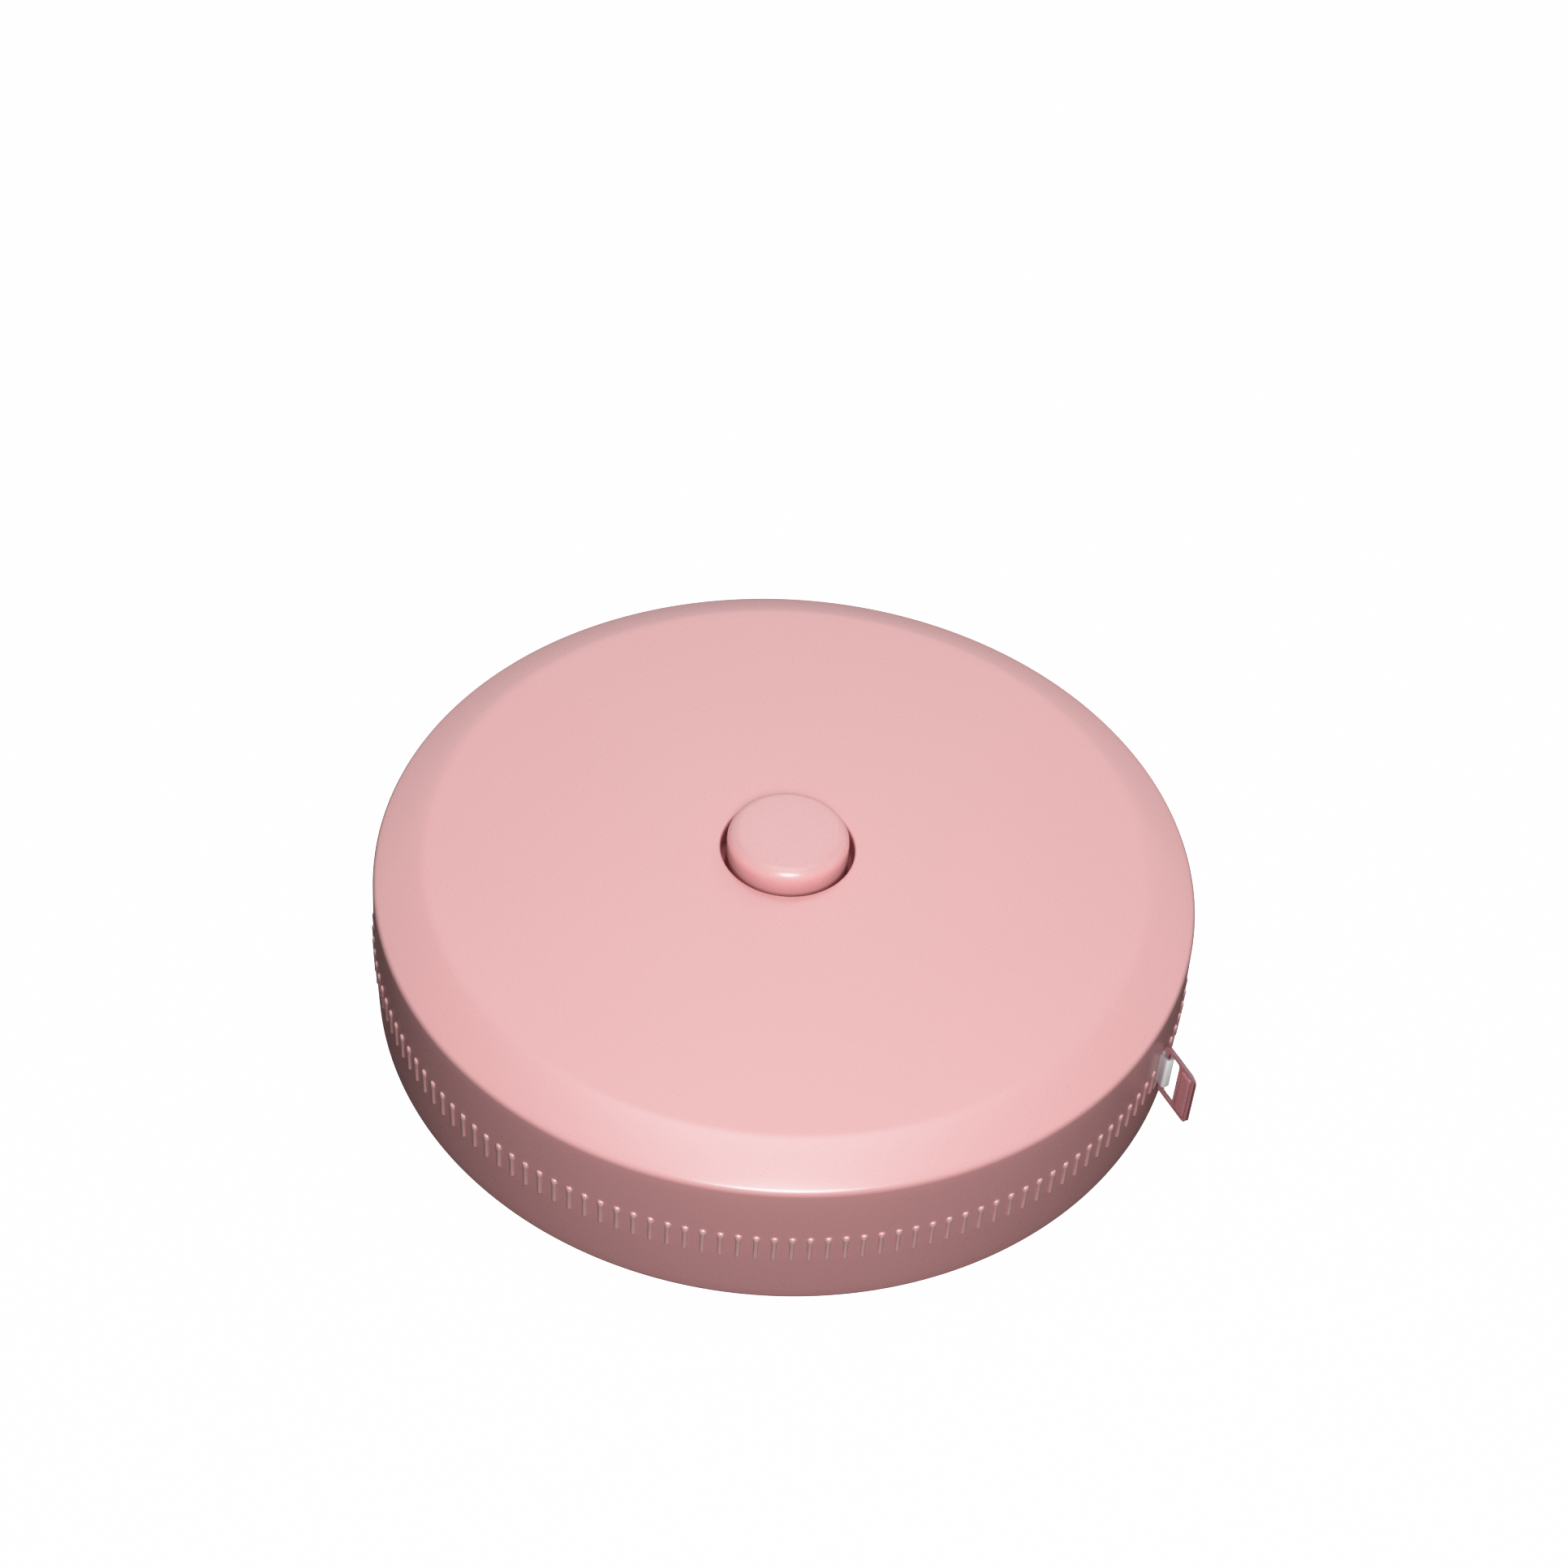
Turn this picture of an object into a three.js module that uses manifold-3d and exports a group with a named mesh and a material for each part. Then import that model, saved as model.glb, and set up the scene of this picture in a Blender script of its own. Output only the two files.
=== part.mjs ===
// Round push-button tape measure: a two-part case, a sprung reel of tape, a brake on the button and a pull tab.
// Millimetres, +Z up. The origin is the middle of the flat underside, and +X is the way the tape pulls out.
import * as THREE from "three";
import { mergeVertices } from "three/addons/utils/BufferGeometryUtils.js";
import Module from "manifold-3d";

const wasm = await Module();
wasm.setup();

// Case
const caseRadius = 25;
const ringWidth = 3;
const chamferDrop = 1.4;
const wallHeight = 9.55;
const domeRise = 0.33;
const rimFillet = 0.45;
const wallThick = 1.4;
const skinThick = 1.2;
const lipThick = 0.55;
const lipGap = 0.15;

// Grip ribs in a very shallow groove round the upper shell's wall: a whole number stand on each facet
const caseSides = 52;
const ribsPerSide = 3;
const ribLength = 1.95;
const ribProud = 0.17;
const ribRoot = 0.05;
const ribHalfWidth = 0.24;
const ribPhaseShare = -0.386;

// Button
const buttonRadius = 3.7;
const buttonProud = 1.4;
const buttonFillet = 0.7;
const buttonGap = 0.37;
const buttonStroke = 1.2;
const buttonCrown = 1.2;
const collarRadius = 4.9;
const collarThick = 0.6;
const collarGap = 0.15;
const stemRadius = 3.1;
const stemBore = 2.3;
const neckInset = 0.35;
const snapLipReach = 0.25;
const snapLipHeight = 0.3;

// Brake
const brakeDiscRadius = 6;
const brakeDiscThick = 0.6;
const brakePadInset = 0.2;
const brakePadStemGap = 0.9;
const brakePadThick = 0.5;
const brakeGap = 0.15;
const guideWall = 0.9;

// Post, washer and springs
const postRadius = 2;
const postFootRadius = 1.4;
const postFootLength = 1.1;
const postPinRadius = 1;
const postPinLength = 3.2;
const postSlitWidth = 0.6;
const postSlitDepth = 1.2;
const bearingRadius = 4.3;
const bearingHeight = 0.4;
const washerThick = 0.3;
const coilWire = 0.35;
const coilRadius = 1.55;
const coilCurls = 6;
const springStrip = 0.2;
const springTurns = 8;

// Tape
const tapeWidth = 2.5;
const tapeThick = 0.2;
const windingDepth = 3.52;
const tapeSideGap = 0.275;
const loopGap = 0.05;
const tailLength = 5.4;

// Reel
const flangeThick = 0.6;
const flangeReach = 1.27;
const webThick = 0.6;
const drumWall = 0.9;
const coverStep = 0.7;

// Mouth
const mouthHeightGap = 0.3;
const mouthInnerGap = 0.28;
const mouthOuterGap = 0.09;
const pinRadius = 0.6;
const pinBossWall = 0.5;
const pinSetIn = 0.4;
const innerPinSetback = 2.8;
const outerPinSetback = 4.8;

// Pull tab
const tabSetback = 0.12;
const tabOffset = 0.2;
const tabReach = 3.06;
const tabHeight = 4;
const tabThick = 0.2;
const tabRail = 0.28;
const tabBarWidth = 1.57;
const tabCorner = 0.5;
const tabWindowCorner = 0.15;
const loopBarWidth = 0.25;
const loopBarThick = 0.1;
const loopBarNotch = 0.1;
const tabPadInset = 0.25;
const tabPadProud = 0.1;
const tabPadBevel = 0.08;

// Screws that close the case
const screwCount = 3;
const screwShankRadius = 0.75;
const screwHeadRadius = 1.4;
const screwHeadHeight = 1;
const screwLength = 7.2;
const screwSunk = 0.6;
const screwRecessGap = 0.3;
const screwRecessWall = 0.6;
const crossWidth = 0.4;
const crossDepth = 0.5;
const screwWallGap = 1.3;
const screwReelGap = 1.1;
const towerRadius = 1.7;
const firstScrewTurnShare = 0.28;

// Clearances
const runGap = 0.2;
const fitGap = 0.1;
const overrun = 1;

// How finely round pieces are faceted
const reelSides = 36;
const smallSides = 16;
const pinSides = 12;
const arcSteps = 3;
const curlSteps = 8;
const wireSides = 5;
const springSteps = 14;
const domeSteps = 3;
const gridPerMm = 4096;

// Heights worked out from the case downwards and upwards
const caseHeight = wallHeight + 2 * chamferDrop;
const midZ = caseHeight / 2;
const partZ = midZ - ribLength / 2;
const bandTopZ = midZ + ribLength / 2;
const holeRadius = buttonRadius + buttonGap;
const domeTopZ = caseHeight + domeRise;
const ceilingZ = caseHeight - skinThick;
const buttonTopZ = domeTopZ + buttonProud;
const collarTopZ = ceilingZ - collarGap;
const collarBottomZ = collarTopZ - collarThick;
const coverTopZ = collarBottomZ - buttonStroke - runGap;
const coverZ = coverTopZ - flangeThick;
const padTopZ = coverZ - brakeGap;
const padZ = padTopZ - brakePadThick;
const screwHeadTopZ = screwSunk + screwHeadHeight;
const screwTipZ = screwHeadTopZ + screwLength;
const brakeDiscZ = padZ - brakeDiscThick;
const stemBottomZ = brakeDiscZ - fitGap - snapLipHeight;
const bearingZ = skinThick + bearingHeight;
const washerTopZ = bearingZ + washerThick;
const webZ = washerTopZ + runGap;
const webTopZ = webZ + webThick;
const springZ = webTopZ + runGap;
const springTopZ = stemBottomZ - buttonStroke - runGap;
const postTopZ = stemBottomZ + buttonStroke / 2;
const boreTopZ = buttonTopZ - buttonCrown;
const tapeZ = midZ - tapeWidth / 2;
const tapeTopZ = midZ + tapeWidth / 2;

// Radii worked out from the case inwards
const discRadius = caseRadius - ringWidth;
const innerRadius = caseRadius - wallThick;
const screwBossRadius = screwHeadRadius + screwRecessGap + screwRecessWall;
const screwCircle = innerRadius - screwWallGap - screwBossRadius;
const flangeRadius = screwCircle - screwBossRadius - screwReelGap;
const woundRadius = flangeRadius - flangeReach;
const woundInner = woundRadius - windingDepth;
const drumRadius = woundInner - fitGap;
const drumInner = drumRadius - drumWall;
const boreRadius = postRadius + runGap;
const guideRadius = brakeDiscRadius + runGap;
const lidBore = stemRadius + runGap + fitGap;
const windingRadius = woundRadius - 2 * tapeThick - runGap;

// Where the tape leaves the case
const tapeY = woundRadius;
const mouthX = Math.sqrt(caseRadius ** 2 - tapeY ** 2);
const slotY0 = tapeY - tapeThick - mouthInnerGap;
const slotY1 = tapeY + tapeThick + mouthOuterGap;
const ribPitch = (2 * Math.PI) / (caseSides * ribsPerSide);
const ribPhase = Math.atan2(tapeY, mouthX) + ribPhaseShare * ribPitch;
const facetPhase = ribPhase - ribPitch / 2;

const tailX = mouthX - tailLength;

// The pins either side of the tape, inside the mouth
const innerPinY = tapeY - tapeThick - runGap - pinRadius;
const outerPinY = tapeY + tapeThick + runGap + pinRadius;
const pinPlaces = [
  [mouthX - innerPinSetback, innerPinY],
  [mouthX - outerPinSetback, outerPinY],
];
const pinZ = skinThick + pinSetIn;
const pinTopZ = ceilingZ - pinSetIn;
const pinHole = pinRadius + fitGap;
const pinBoss = pinHole + pinBossWall;

// Pull tab along X, in a plane a little outside the tape's
const tabY = tapeY + tabOffset;
const tabX = mouthX + tabSetback;
const tabEndX = tabX + tabReach;
const tabWindowEndX = tabEndX - tabBarWidth;
const loopBarX = tabX + loopBarNotch;
const loopBarEndX = loopBarX + loopBarWidth;
const loopNoseX = loopBarEndX + loopGap;

const point = (x, y) => new THREE.Vector2(x, y);
const polar = (radius, angle) => point(radius * Math.cos(angle), radius * Math.sin(angle));

// A closed three.js geometry as a solid for joining and cutting, on a fine grid so that seams meet exactly.
function solid(geometry) {
  const bare = geometry.clone();
  bare.deleteAttribute("normal");
  bare.deleteAttribute("uv");
  const merged = mergeVertices(bare);
  const vertProperties = merged.attributes.position.array.map((v) => Math.round(v * gridPerMm) / gridPerMm);
  const triVerts = new Uint32Array(merged.index.array);
  return new wasm.Manifold(new wasm.Mesh({ numProp: 3, vertProperties, triVerts }));
}

const join = (...parts) => parts.reduce((sum, part) => sum.add(part));
const cut = (body, ...tools) => tools.reduce((rest, tool) => rest.subtract(tool), body);

// A solid back as a three.js geometry.
function geometryOf(body) {
  const mesh = body.getMesh();
  const positions = new THREE.BufferAttribute(mesh.vertProperties.slice(), mesh.numProp);
  const geometry = new THREE.BufferGeometry().setAttribute("position", positions);
  geometry.setIndex(new THREE.BufferAttribute(mesh.triVerts.slice(), 1));
  geometry.computeVertexNormals();
  return geometry;
}

// A profile of (radius, height) points turned about Z, with its first corner at the start angle.
function turned(profile, sides, start = 0) {
  const points = profile.map(([r, z]) => point(r, z));
  const geometry = new THREE.LatheGeometry(points, sides, start + Math.PI / 2);
  return solid(geometry.rotateX(Math.PI / 2));
}

const ring = (inner, outer, z0, z1, sides, start) =>
  turned([[inner, z0], [outer, z0], [outer, z1], [inner, z1], [inner, z0]], sides, start);

const rod = (radius, z0, z1, sides) => turned([[0, z0], [radius, z0], [radius, z1], [0, z1]], sides);

const rodAt = (x, y, radius, z0, z1, sides) => rod(radius, z0, z1, sides).translate([x, y, 0]);

function block(x0, x1, y0, y1, z0, z1) {
  const geometry = new THREE.BoxGeometry(x1 - x0, y1 - y0, z1 - z0);
  return solid(geometry.translate((x0 + x1) / 2, (y0 + y1) / 2, (z0 + z1) / 2));
}

// A flat outline in XY raised from z0 to z1.
function prism(outline, z0, z1) {
  const shape = outline instanceof THREE.Shape ? outline : new THREE.Shape(outline);
  const geometry = new THREE.ExtrudeGeometry(shape, {
    depth: z1 - z0,
    bevelEnabled: false,
    curveSegments: arcSteps,
  });
  return solid(geometry.translate(0, 0, z0));
}

// Points of an arc of (radius, height) about a centre, from one angle to another.
function arc(r, z, radius, from, to) {
  return Array.from({ length: arcSteps + 1 }, (_, i) => {
    const angle = from + ((to - from) * i) / arcSteps;
    return [r + radius * Math.cos(angle), z + radius * Math.sin(angle)];
  });
}

// The rim's rounded corner between the sloping ring and the wall, for the upper half.
function rimCorner() {
  const slope = Math.atan2(chamferDrop, caseRadius - discRadius);
  const back = rimFillet * Math.tan((Math.PI / 2 - slope) / 2);
  const z = caseHeight - chamferDrop - back;
  return arc(caseRadius - rimFillet, z, rimFillet, 0, Math.PI / 2 - slope);
}

// The outside of the upper half from the rib band to the button's hole.
function upperOutline() {
  const dome = Array.from({ length: domeSteps + 1 }, (_, i) => {
    const share = 1 - i / domeSteps;
    return [holeRadius + (discRadius - holeRadius) * share, caseHeight + domeRise * (1 - share ** 2)];
  });
  return [[caseRadius, bandTopZ], ...rimCorner(), ...dome];
}

// The inside of a half from its wall to its ceiling or floor, as heights above the middle plane.
function hollowOutline() {
  const ceiling = ceilingZ - midZ;
  return [
    [innerRadius, ribLength / 2],
    [innerRadius, ceiling - chamferDrop],
    [discRadius - wallThick, ceiling],
  ];
}

// A point on the faceted wall: facets meet midway between two ribs.
function onWall(radius, angle) {
  const facet = ribPitch * ribsPerSide;
  const turn = angle - facetPhase;
  const offMiddle = turn - facet * (Math.floor(turn / facet) + 1 / 2);
  return polar((radius * Math.cos(facet / 2)) / Math.cos(offMiddle), angle);
}

// The wall where the ribs stand, as a ring whose outline has the ribs on it, save those that the mouth takes.
function ribBand(inner, z0, z1) {
  const halfAngle = ribHalfWidth / caseRadius;
  const grooveRadius = caseRadius - ribRoot;
  const corners = Array.from({ length: caseSides }, (_, i) => facetPhase + i * ribPitch * ribsPerSide);
  const outline = corners.flatMap((corner) => [
    polar(grooveRadius, corner),
    ...Array.from({ length: ribsPerSide }, (_, i) => corner + (i + 1 / 2) * ribPitch)
      .filter((angle) => !atMouth(angle))
      .flatMap((angle) => [
        onWall(grooveRadius, angle - halfAngle),
        polar(caseRadius + ribProud, angle),
        onWall(grooveRadius, angle + halfAngle),
      ]),
  ]);
  const shape = new THREE.Shape(outline);
  shape.holes.push(new THREE.Path(corners.map((corner) => polar(inner, corner))));
  return prism(shape, z0, z1);
}

// Whether a rib at this angle would stand in the slot.
function atMouth(angle) {
  const y = caseRadius * Math.sin(angle);
  const halfWidth = ribHalfWidth * Math.cos(angle);
  return Math.cos(angle) > 0 && y + halfWidth > slotY0 && y - halfWidth < slotY1;
}

function mouthSlot() {
  const z0 = tapeZ - mouthHeightGap;
  const z1 = tapeTopZ + mouthHeightGap;
  return block(mouthX - wallThick - overrun, caseRadius, slotY0, slotY1, z0, z1);
}

const screwTurns = Array.from({ length: screwCount }, (_, i) => firstScrewTurnShare + i / screwCount);
const screwPlaces = screwTurns.map((turn) => polar(screwCircle, 2 * Math.PI * turn));

// The same upright rod at each screw.
const atScrews = (radius, z0, z1, sides) => screwPlaces.map(({ x, y }) => rodAt(x, y, radius, z0, z1, sides));

// The same upright rod at each mouth pin.
const atPins = (radius, z0, z1) => pinPlaces.map(([x, y]) => rodAt(x, y, radius, z0, z1, pinSides));

function topShell() {
  const inside = hollowOutline().map(([r, h]) => [r, midZ + h]);
  const profile = [...upperOutline(), [holeRadius, ceilingZ], ...inside.reverse(), [caseRadius, bandTopZ]];
  const shell = turned(profile, caseSides, facetPhase);
  const band = ribBand(innerRadius + lipThick + lipGap, partZ, bandTopZ);
  const guide = ring(guideRadius, guideRadius + guideWall, coverTopZ + runGap, ceilingZ + fitGap, reelSides);
  const towers = atScrews(towerRadius, partZ, ceilingZ + fitGap, pinSides);
  const pilots = atScrews(screwShankRadius + fitGap, partZ - overrun, screwTipZ + fitGap, pinSides);
  const bosses = atPins(pinBoss, pinTopZ - overrun, ceilingZ - fitGap);
  const holes = atPins(pinHole, partZ, pinTopZ + fitGap);
  return cut(join(shell, band, guide, ...towers, ...bosses), ...pilots, ...holes, mouthSlot());
}

function bottomShell() {
  const corner = rimCorner().map(([r, z]) => [r, caseHeight - z]);
  const inside = hollowOutline().map(([r, h]) => [r, midZ - h]);
  const outside = [[0, 0], [discRadius, 0], ...corner.reverse(), [caseRadius, partZ]];
  const shell = turned([...outside, ...inside, [0, skinThick]], caseSides, facetPhase);
  const lipRadius = innerRadius + lipThick;
  const lip = ring(innerRadius, lipRadius, partZ - overrun, bandTopZ - lipGap, caseSides, facetPhase);
  const bearing = rod(bearingRadius, skinThick - fitGap, bearingZ, reelSides);
  const socket = rod(postFootRadius + fitGap, bearingZ - postFootLength, bearingZ + overrun, smallSides);
  const bosses = atScrews(screwBossRadius, skinThick - fitGap, partZ, smallSides);
  const recesses = atScrews(screwHeadRadius + screwRecessGap, -overrun, screwHeadTopZ, smallSides);
  const shafts = atScrews(screwShankRadius + runGap, 0, partZ + overrun, pinSides);
  const pinBosses = atPins(pinBoss, skinThick - fitGap, pinZ + overrun);
  const holes = atPins(pinHole, pinZ, partZ);
  const whole = join(shell, lip, bearing, ...bosses, ...pinBosses);
  return cut(whole, socket, ...recesses, ...shafts, ...holes, mouthSlot());
}

function releaseButton() {
  const neck = stemRadius - neckInset;
  const lipRadius = neck + snapLipReach;
  const crown = arc(buttonRadius - buttonFillet, buttonTopZ - buttonFillet, buttonFillet, 0, Math.PI / 2);
  return turned(
    [
      [stemBore, stemBottomZ],
      [lipRadius, stemBottomZ],
      [lipRadius, stemBottomZ + snapLipHeight],
      [neck, stemBottomZ + snapLipHeight],
      [neck, padZ],
      [stemRadius, padZ],
      [stemRadius, collarBottomZ],
      [collarRadius, collarBottomZ],
      [collarRadius, collarTopZ],
      [buttonRadius, collarTopZ],
      ...crown,
      [0, buttonTopZ],
      [0, boreTopZ],
      [stemBore, boreTopZ],
      [stemBore, stemBottomZ],
    ],
    reelSides,
  );
}

const brakeDisc = () => ring(stemRadius - neckInset + fitGap, brakeDiscRadius, brakeDiscZ, padZ, reelSides);

const padInner = stemRadius + brakePadStemGap;
const brakePad = () => ring(padInner, brakeDiscRadius - brakePadInset, padZ, padTopZ, reelSides);

// The post stands on the bearing boss with its foot pressed in the floor, and a slit for the power spring.
function centrePost() {
  const body = turned(
    [
      [0, bearingZ - postFootLength + fitGap],
      [postFootRadius, bearingZ - postFootLength + fitGap],
      [postFootRadius, bearingZ],
      [postRadius, bearingZ],
      [postRadius, postTopZ],
      [postPinRadius, postTopZ],
      [postPinRadius, postTopZ + postPinLength],
      [0, postTopZ + postPinLength],
    ],
    smallSides,
  );
  return cut(body, legSlit(postRadius - postSlitDepth, postRadius + overrun, springTopZ + fitGap));
}

// The slit that takes a leg of the power spring, from just below the spring up to a height.
function legSlit(x0, x1, z1) {
  const half = postSlitWidth / 2;
  return block(x0, x1, -half, half, springZ - fitGap, z1);
}

const thrustWasher = () => ring(boreRadius, bearingRadius, bearingZ, washerTopZ, reelSides);

function reel() {
  const drum = ring(drumInner, drumRadius, webZ, coverZ, reelSides);
  const web = ring(boreRadius, drumRadius, webZ, webTopZ, reelSides);
  const flangeTopZ = tapeZ - tapeSideGap;
  const flange = ring(drumInner, flangeRadius, flangeTopZ - flangeThick, flangeTopZ, reelSides);
  return cut(join(drum, web, flange), legSlit(drumInner - overrun, drumRadius + overrun, coverZ + overrun));
}

function reelCover() {
  const stepInner = drumRadius + runGap;
  const flangeZ = tapeTopZ + tapeSideGap;
  const lid = ring(lidBore, stepInner + coverStep, coverZ, coverTopZ, reelSides);
  const step = ring(stepInner, stepInner + coverStep, flangeZ, coverTopZ, reelSides);
  const flange = ring(stepInner, flangeRadius, flangeZ, flangeZ + flangeThick, reelSides);
  return join(lid, step, flange);
}

// A strip bent into a spiral: middle radius from r0 to r1 over an angle, as a closed outline.
function spiral(r0, r1, from, sweep, thick, steps) {
  const shares = Array.from({ length: steps + 1 }, (_, i) => i / steps);
  const side = (offset) => shares.map((at) => polar(r0 + (r1 - r0) * at + offset, from + sweep * at));
  return [...side(thick / 2), ...side(-thick / 2).reverse()];
}

// The power spring: a leg in the post's slit, turns that open outwards, and a leg in the drum's notch.
function powerSpring() {
  const half = springStrip / 2;
  const innerTurn = postRadius + runGap + half;
  const outerTurn = drumInner - runGap - half;
  const sweep = 2 * Math.PI * springTurns;
  const outline = spiral(innerTurn, outerTurn, 0, sweep, springStrip, springTurns * springSteps);
  const coil = prism(outline, springZ, springTopZ);
  const innerLeg = block(postRadius - postSlitDepth / 2, innerTurn + half, -half, half, springZ, springTopZ);
  const outerLeg = block(outerTurn - half, drumRadius - drumWall / 2, -half, half, springZ, springTopZ);
  return join(coil, innerLeg, outerLeg);
}

// A round wire wound round the post's pin, between the post's shoulder and the button's crown.
function buttonSpring() {
  const z0 = postTopZ + coilWire / 2 + fitGap;
  const z1 = boreTopZ - coilWire / 2 - fitGap;
  const steps = coilCurls * curlSteps;
  const points = Array.from({ length: steps + 1 }, (_, i) => {
    const place = polar(coilRadius, (2 * Math.PI * coilCurls * i) / steps);
    return new THREE.Vector3(place.x, place.y, z0 + ((z1 - z0) * i) / steps);
  });
  const wireAngle = (2 * Math.PI) / wireSides;
  const wire = new THREE.Shape(Array.from({ length: wireSides }, (_, i) => polar(coilWire / 2, i * wireAngle)));
  const extrudePath = new THREE.CatmullRomCurve3(points);
  return solid(new THREE.ExtrudeGeometry(wire, { steps, extrudePath, bevelEnabled: false }));
}

const tapeWinding = () => ring(woundInner, windingRadius, tapeZ, tapeTopZ, reelSides);

// The outermost turn: it starts where the tape leaves the reel and ends one layer lower.
function tapeOuterTurn() {
  const middle = woundRadius - tapeThick / 2;
  const sweep = 2 * Math.PI - Math.PI / reelSides;
  return prism(spiral(middle, middle - tapeThick, Math.PI / 2, sweep, tapeThick, reelSides), tapeZ, tapeTopZ);
}

const tapeRun = () => block(fitGap, tailX - fitGap, tapeY - tapeThick, tapeY, tapeZ, tapeTopZ);

// The tape's end: two layers through the mouth, parted round the tab's inner bar.
function tapeLoop() {
  const half = loopBarThick / 2 + loopGap;
  const neckX = tabX - loopBarNotch;
  const outer = new THREE.Shape([point(tailX, tapeY - tapeThick), point(neckX, tapeY - tapeThick)]);
  outer.lineTo(loopBarX, tabY - half - tapeThick);
  outer.lineTo(loopNoseX, tabY - half - tapeThick);
  outer.absellipse(loopNoseX, tabY, tapeThick, half + tapeThick, -Math.PI / 2, Math.PI / 2, false);
  outer.lineTo(loopBarX, tabY + half + tapeThick);
  outer.lineTo(neckX, tapeY + tapeThick);
  outer.lineTo(tailX, tapeY + tapeThick);
  const eye = new THREE.Path([
    point(loopBarX - loopGap, tabY - half),
    point(loopNoseX, tabY - half),
    point(loopNoseX, tabY + half),
    point(loopBarX - loopGap, tabY + half),
  ]);
  outer.holes.push(eye);
  return prism(outer, tapeZ, tapeTopZ);
}

// A rectangle with rounded corners, in the tab's own plane: along the pull and up.
function roundedRectangle(path, [x0, x1], [z0, z1], innerCorner, outerCorner) {
  path.moveTo(x0 + innerCorner, z0);
  path.lineTo(x1 - outerCorner, z0);
  path.absarc(x1 - outerCorner, z0 + outerCorner, outerCorner, -Math.PI / 2, 0, false);
  path.lineTo(x1, z1 - outerCorner);
  path.absarc(x1 - outerCorner, z1 - outerCorner, outerCorner, 0, Math.PI / 2, false);
  path.lineTo(x0 + innerCorner, z1);
  path.absarc(x0 + innerCorner, z1 - innerCorner, innerCorner, Math.PI / 2, Math.PI, false);
  path.lineTo(x0, z0 + innerCorner);
  path.absarc(x0 + innerCorner, z0 + innerCorner, innerCorner, Math.PI, (3 * Math.PI) / 2, false);
  return path;
}

// The thin frame, its window, the room for the tape round its inner bar, and the pad on its outer bar.
function pullTab() {
  const half = tabHeight / 2;
  const span = (inset) => [midZ - half + inset, midZ + half - inset];
  const frame = roundedRectangle(new THREE.Shape(), [tabX, tabEndX], span(0), tabWindowCorner, tabCorner);
  const opening = [loopBarEndX, tabWindowEndX];
  frame.holes.push(roundedRectangle(new THREE.Path(), opening, span(tabRail), tabWindowCorner, tabWindowCorner));
  const plate = upright(frame, tabThick, 0);
  const pad = roundedRectangle(
    new THREE.Shape(),
    [tabWindowEndX + tabPadInset, tabEndX - tabPadInset],
    span(tabPadInset),
    tabPadInset,
    tabCorner - tabPadInset,
  );
  return join(cut(plate, ...wrapRoom()), upright(pad, tabThick + 2 * tabPadProud, tabPadBevel));
}

// What the wrapped tape takes from the tab: a notch in its end, and both faces of its inner bar.
function wrapRoom() {
  const half = loopBarThick / 2;
  const room = (x1, y0, y1) => block(tabX - overrun, x1, y0, y1, tapeZ - fitGap, tapeTopZ + fitGap);
  return [
    room(loopBarX, tabY - overrun, tabY + overrun),
    room(loopNoseX, tabY - overrun, tabY - half),
    room(loopNoseX, tabY + half, tabY + overrun),
  ];
}

// A tab outline given thickness either side of the tab's plane.
function upright(shape, thick, bevel) {
  const geometry = new THREE.ExtrudeGeometry(shape, {
    depth: thick - 2 * bevel,
    bevelEnabled: bevel > 0,
    bevelThickness: bevel,
    bevelSize: bevel,
    bevelOffset: -bevel,
    bevelSegments: 1,
    curveSegments: arcSteps,
  });
  geometry.translate(0, 0, bevel - thick / 2);
  return solid(geometry.rotateX(Math.PI / 2).translate(0, tabY, 0));
}

const mouthPin = (x, y) => rodAt(x, y, pinRadius, pinZ, pinTopZ, pinSides);

// A self-tapping screw, head down, with a cross slot.
function caseScrew() {
  const profile = [
    [0, screwSunk],
    [screwHeadRadius, screwSunk],
    [screwHeadRadius, screwHeadTopZ],
    [screwShankRadius, screwHeadTopZ],
    [screwShankRadius, screwTipZ - screwShankRadius],
    [0, screwTipZ],
  ];
  const reach = screwHeadRadius - screwRecessGap;
  const half = crossWidth / 2;
  const slot = (x, y) => block(-x, x, -y, y, 0, screwSunk + crossDepth);
  return cut(turned(profile, smallSides), slot(reach, half), slot(half, reach));
}

const pinkShell = { color: 0xe3b1b1, roughness: 0.45, metalness: 0 };
const pinkTab = { color: 0xb8787c, roughness: 0.4, metalness: 0 };
const nylonWhite = { color: 0xe9e6df, roughness: 0.55, metalness: 0 };
const tapeWhite = { color: 0xe4e2da, roughness: 0.6, metalness: 0 };
const steel = { color: 0xb4b7bc, roughness: 0.3, metalness: 1 };
const springSteel = { color: 0x6f747c, roughness: 0.35, metalness: 1 };
const rubber = { color: 0x2e2c2c, roughness: 0.85, metalness: 0 };

function piece(name, body, finish) {
  const material = new THREE.MeshStandardMaterial({ ...finish, flatShading: true });
  const mesh = new THREE.Mesh(geometryOf(body), material);
  mesh.name = name;
  return mesh;
}

function group(name, ...children) {
  const made = new THREE.Group();
  made.name = name;
  return made.add(...children);
}

const screws = screwPlaces.map(({ x, y }, i) => {
  const screw = piece(`case_screw_${i + 1}`, caseScrew(), steel);
  screw.position.set(x, y, 0);
  return screw;
});

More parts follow.
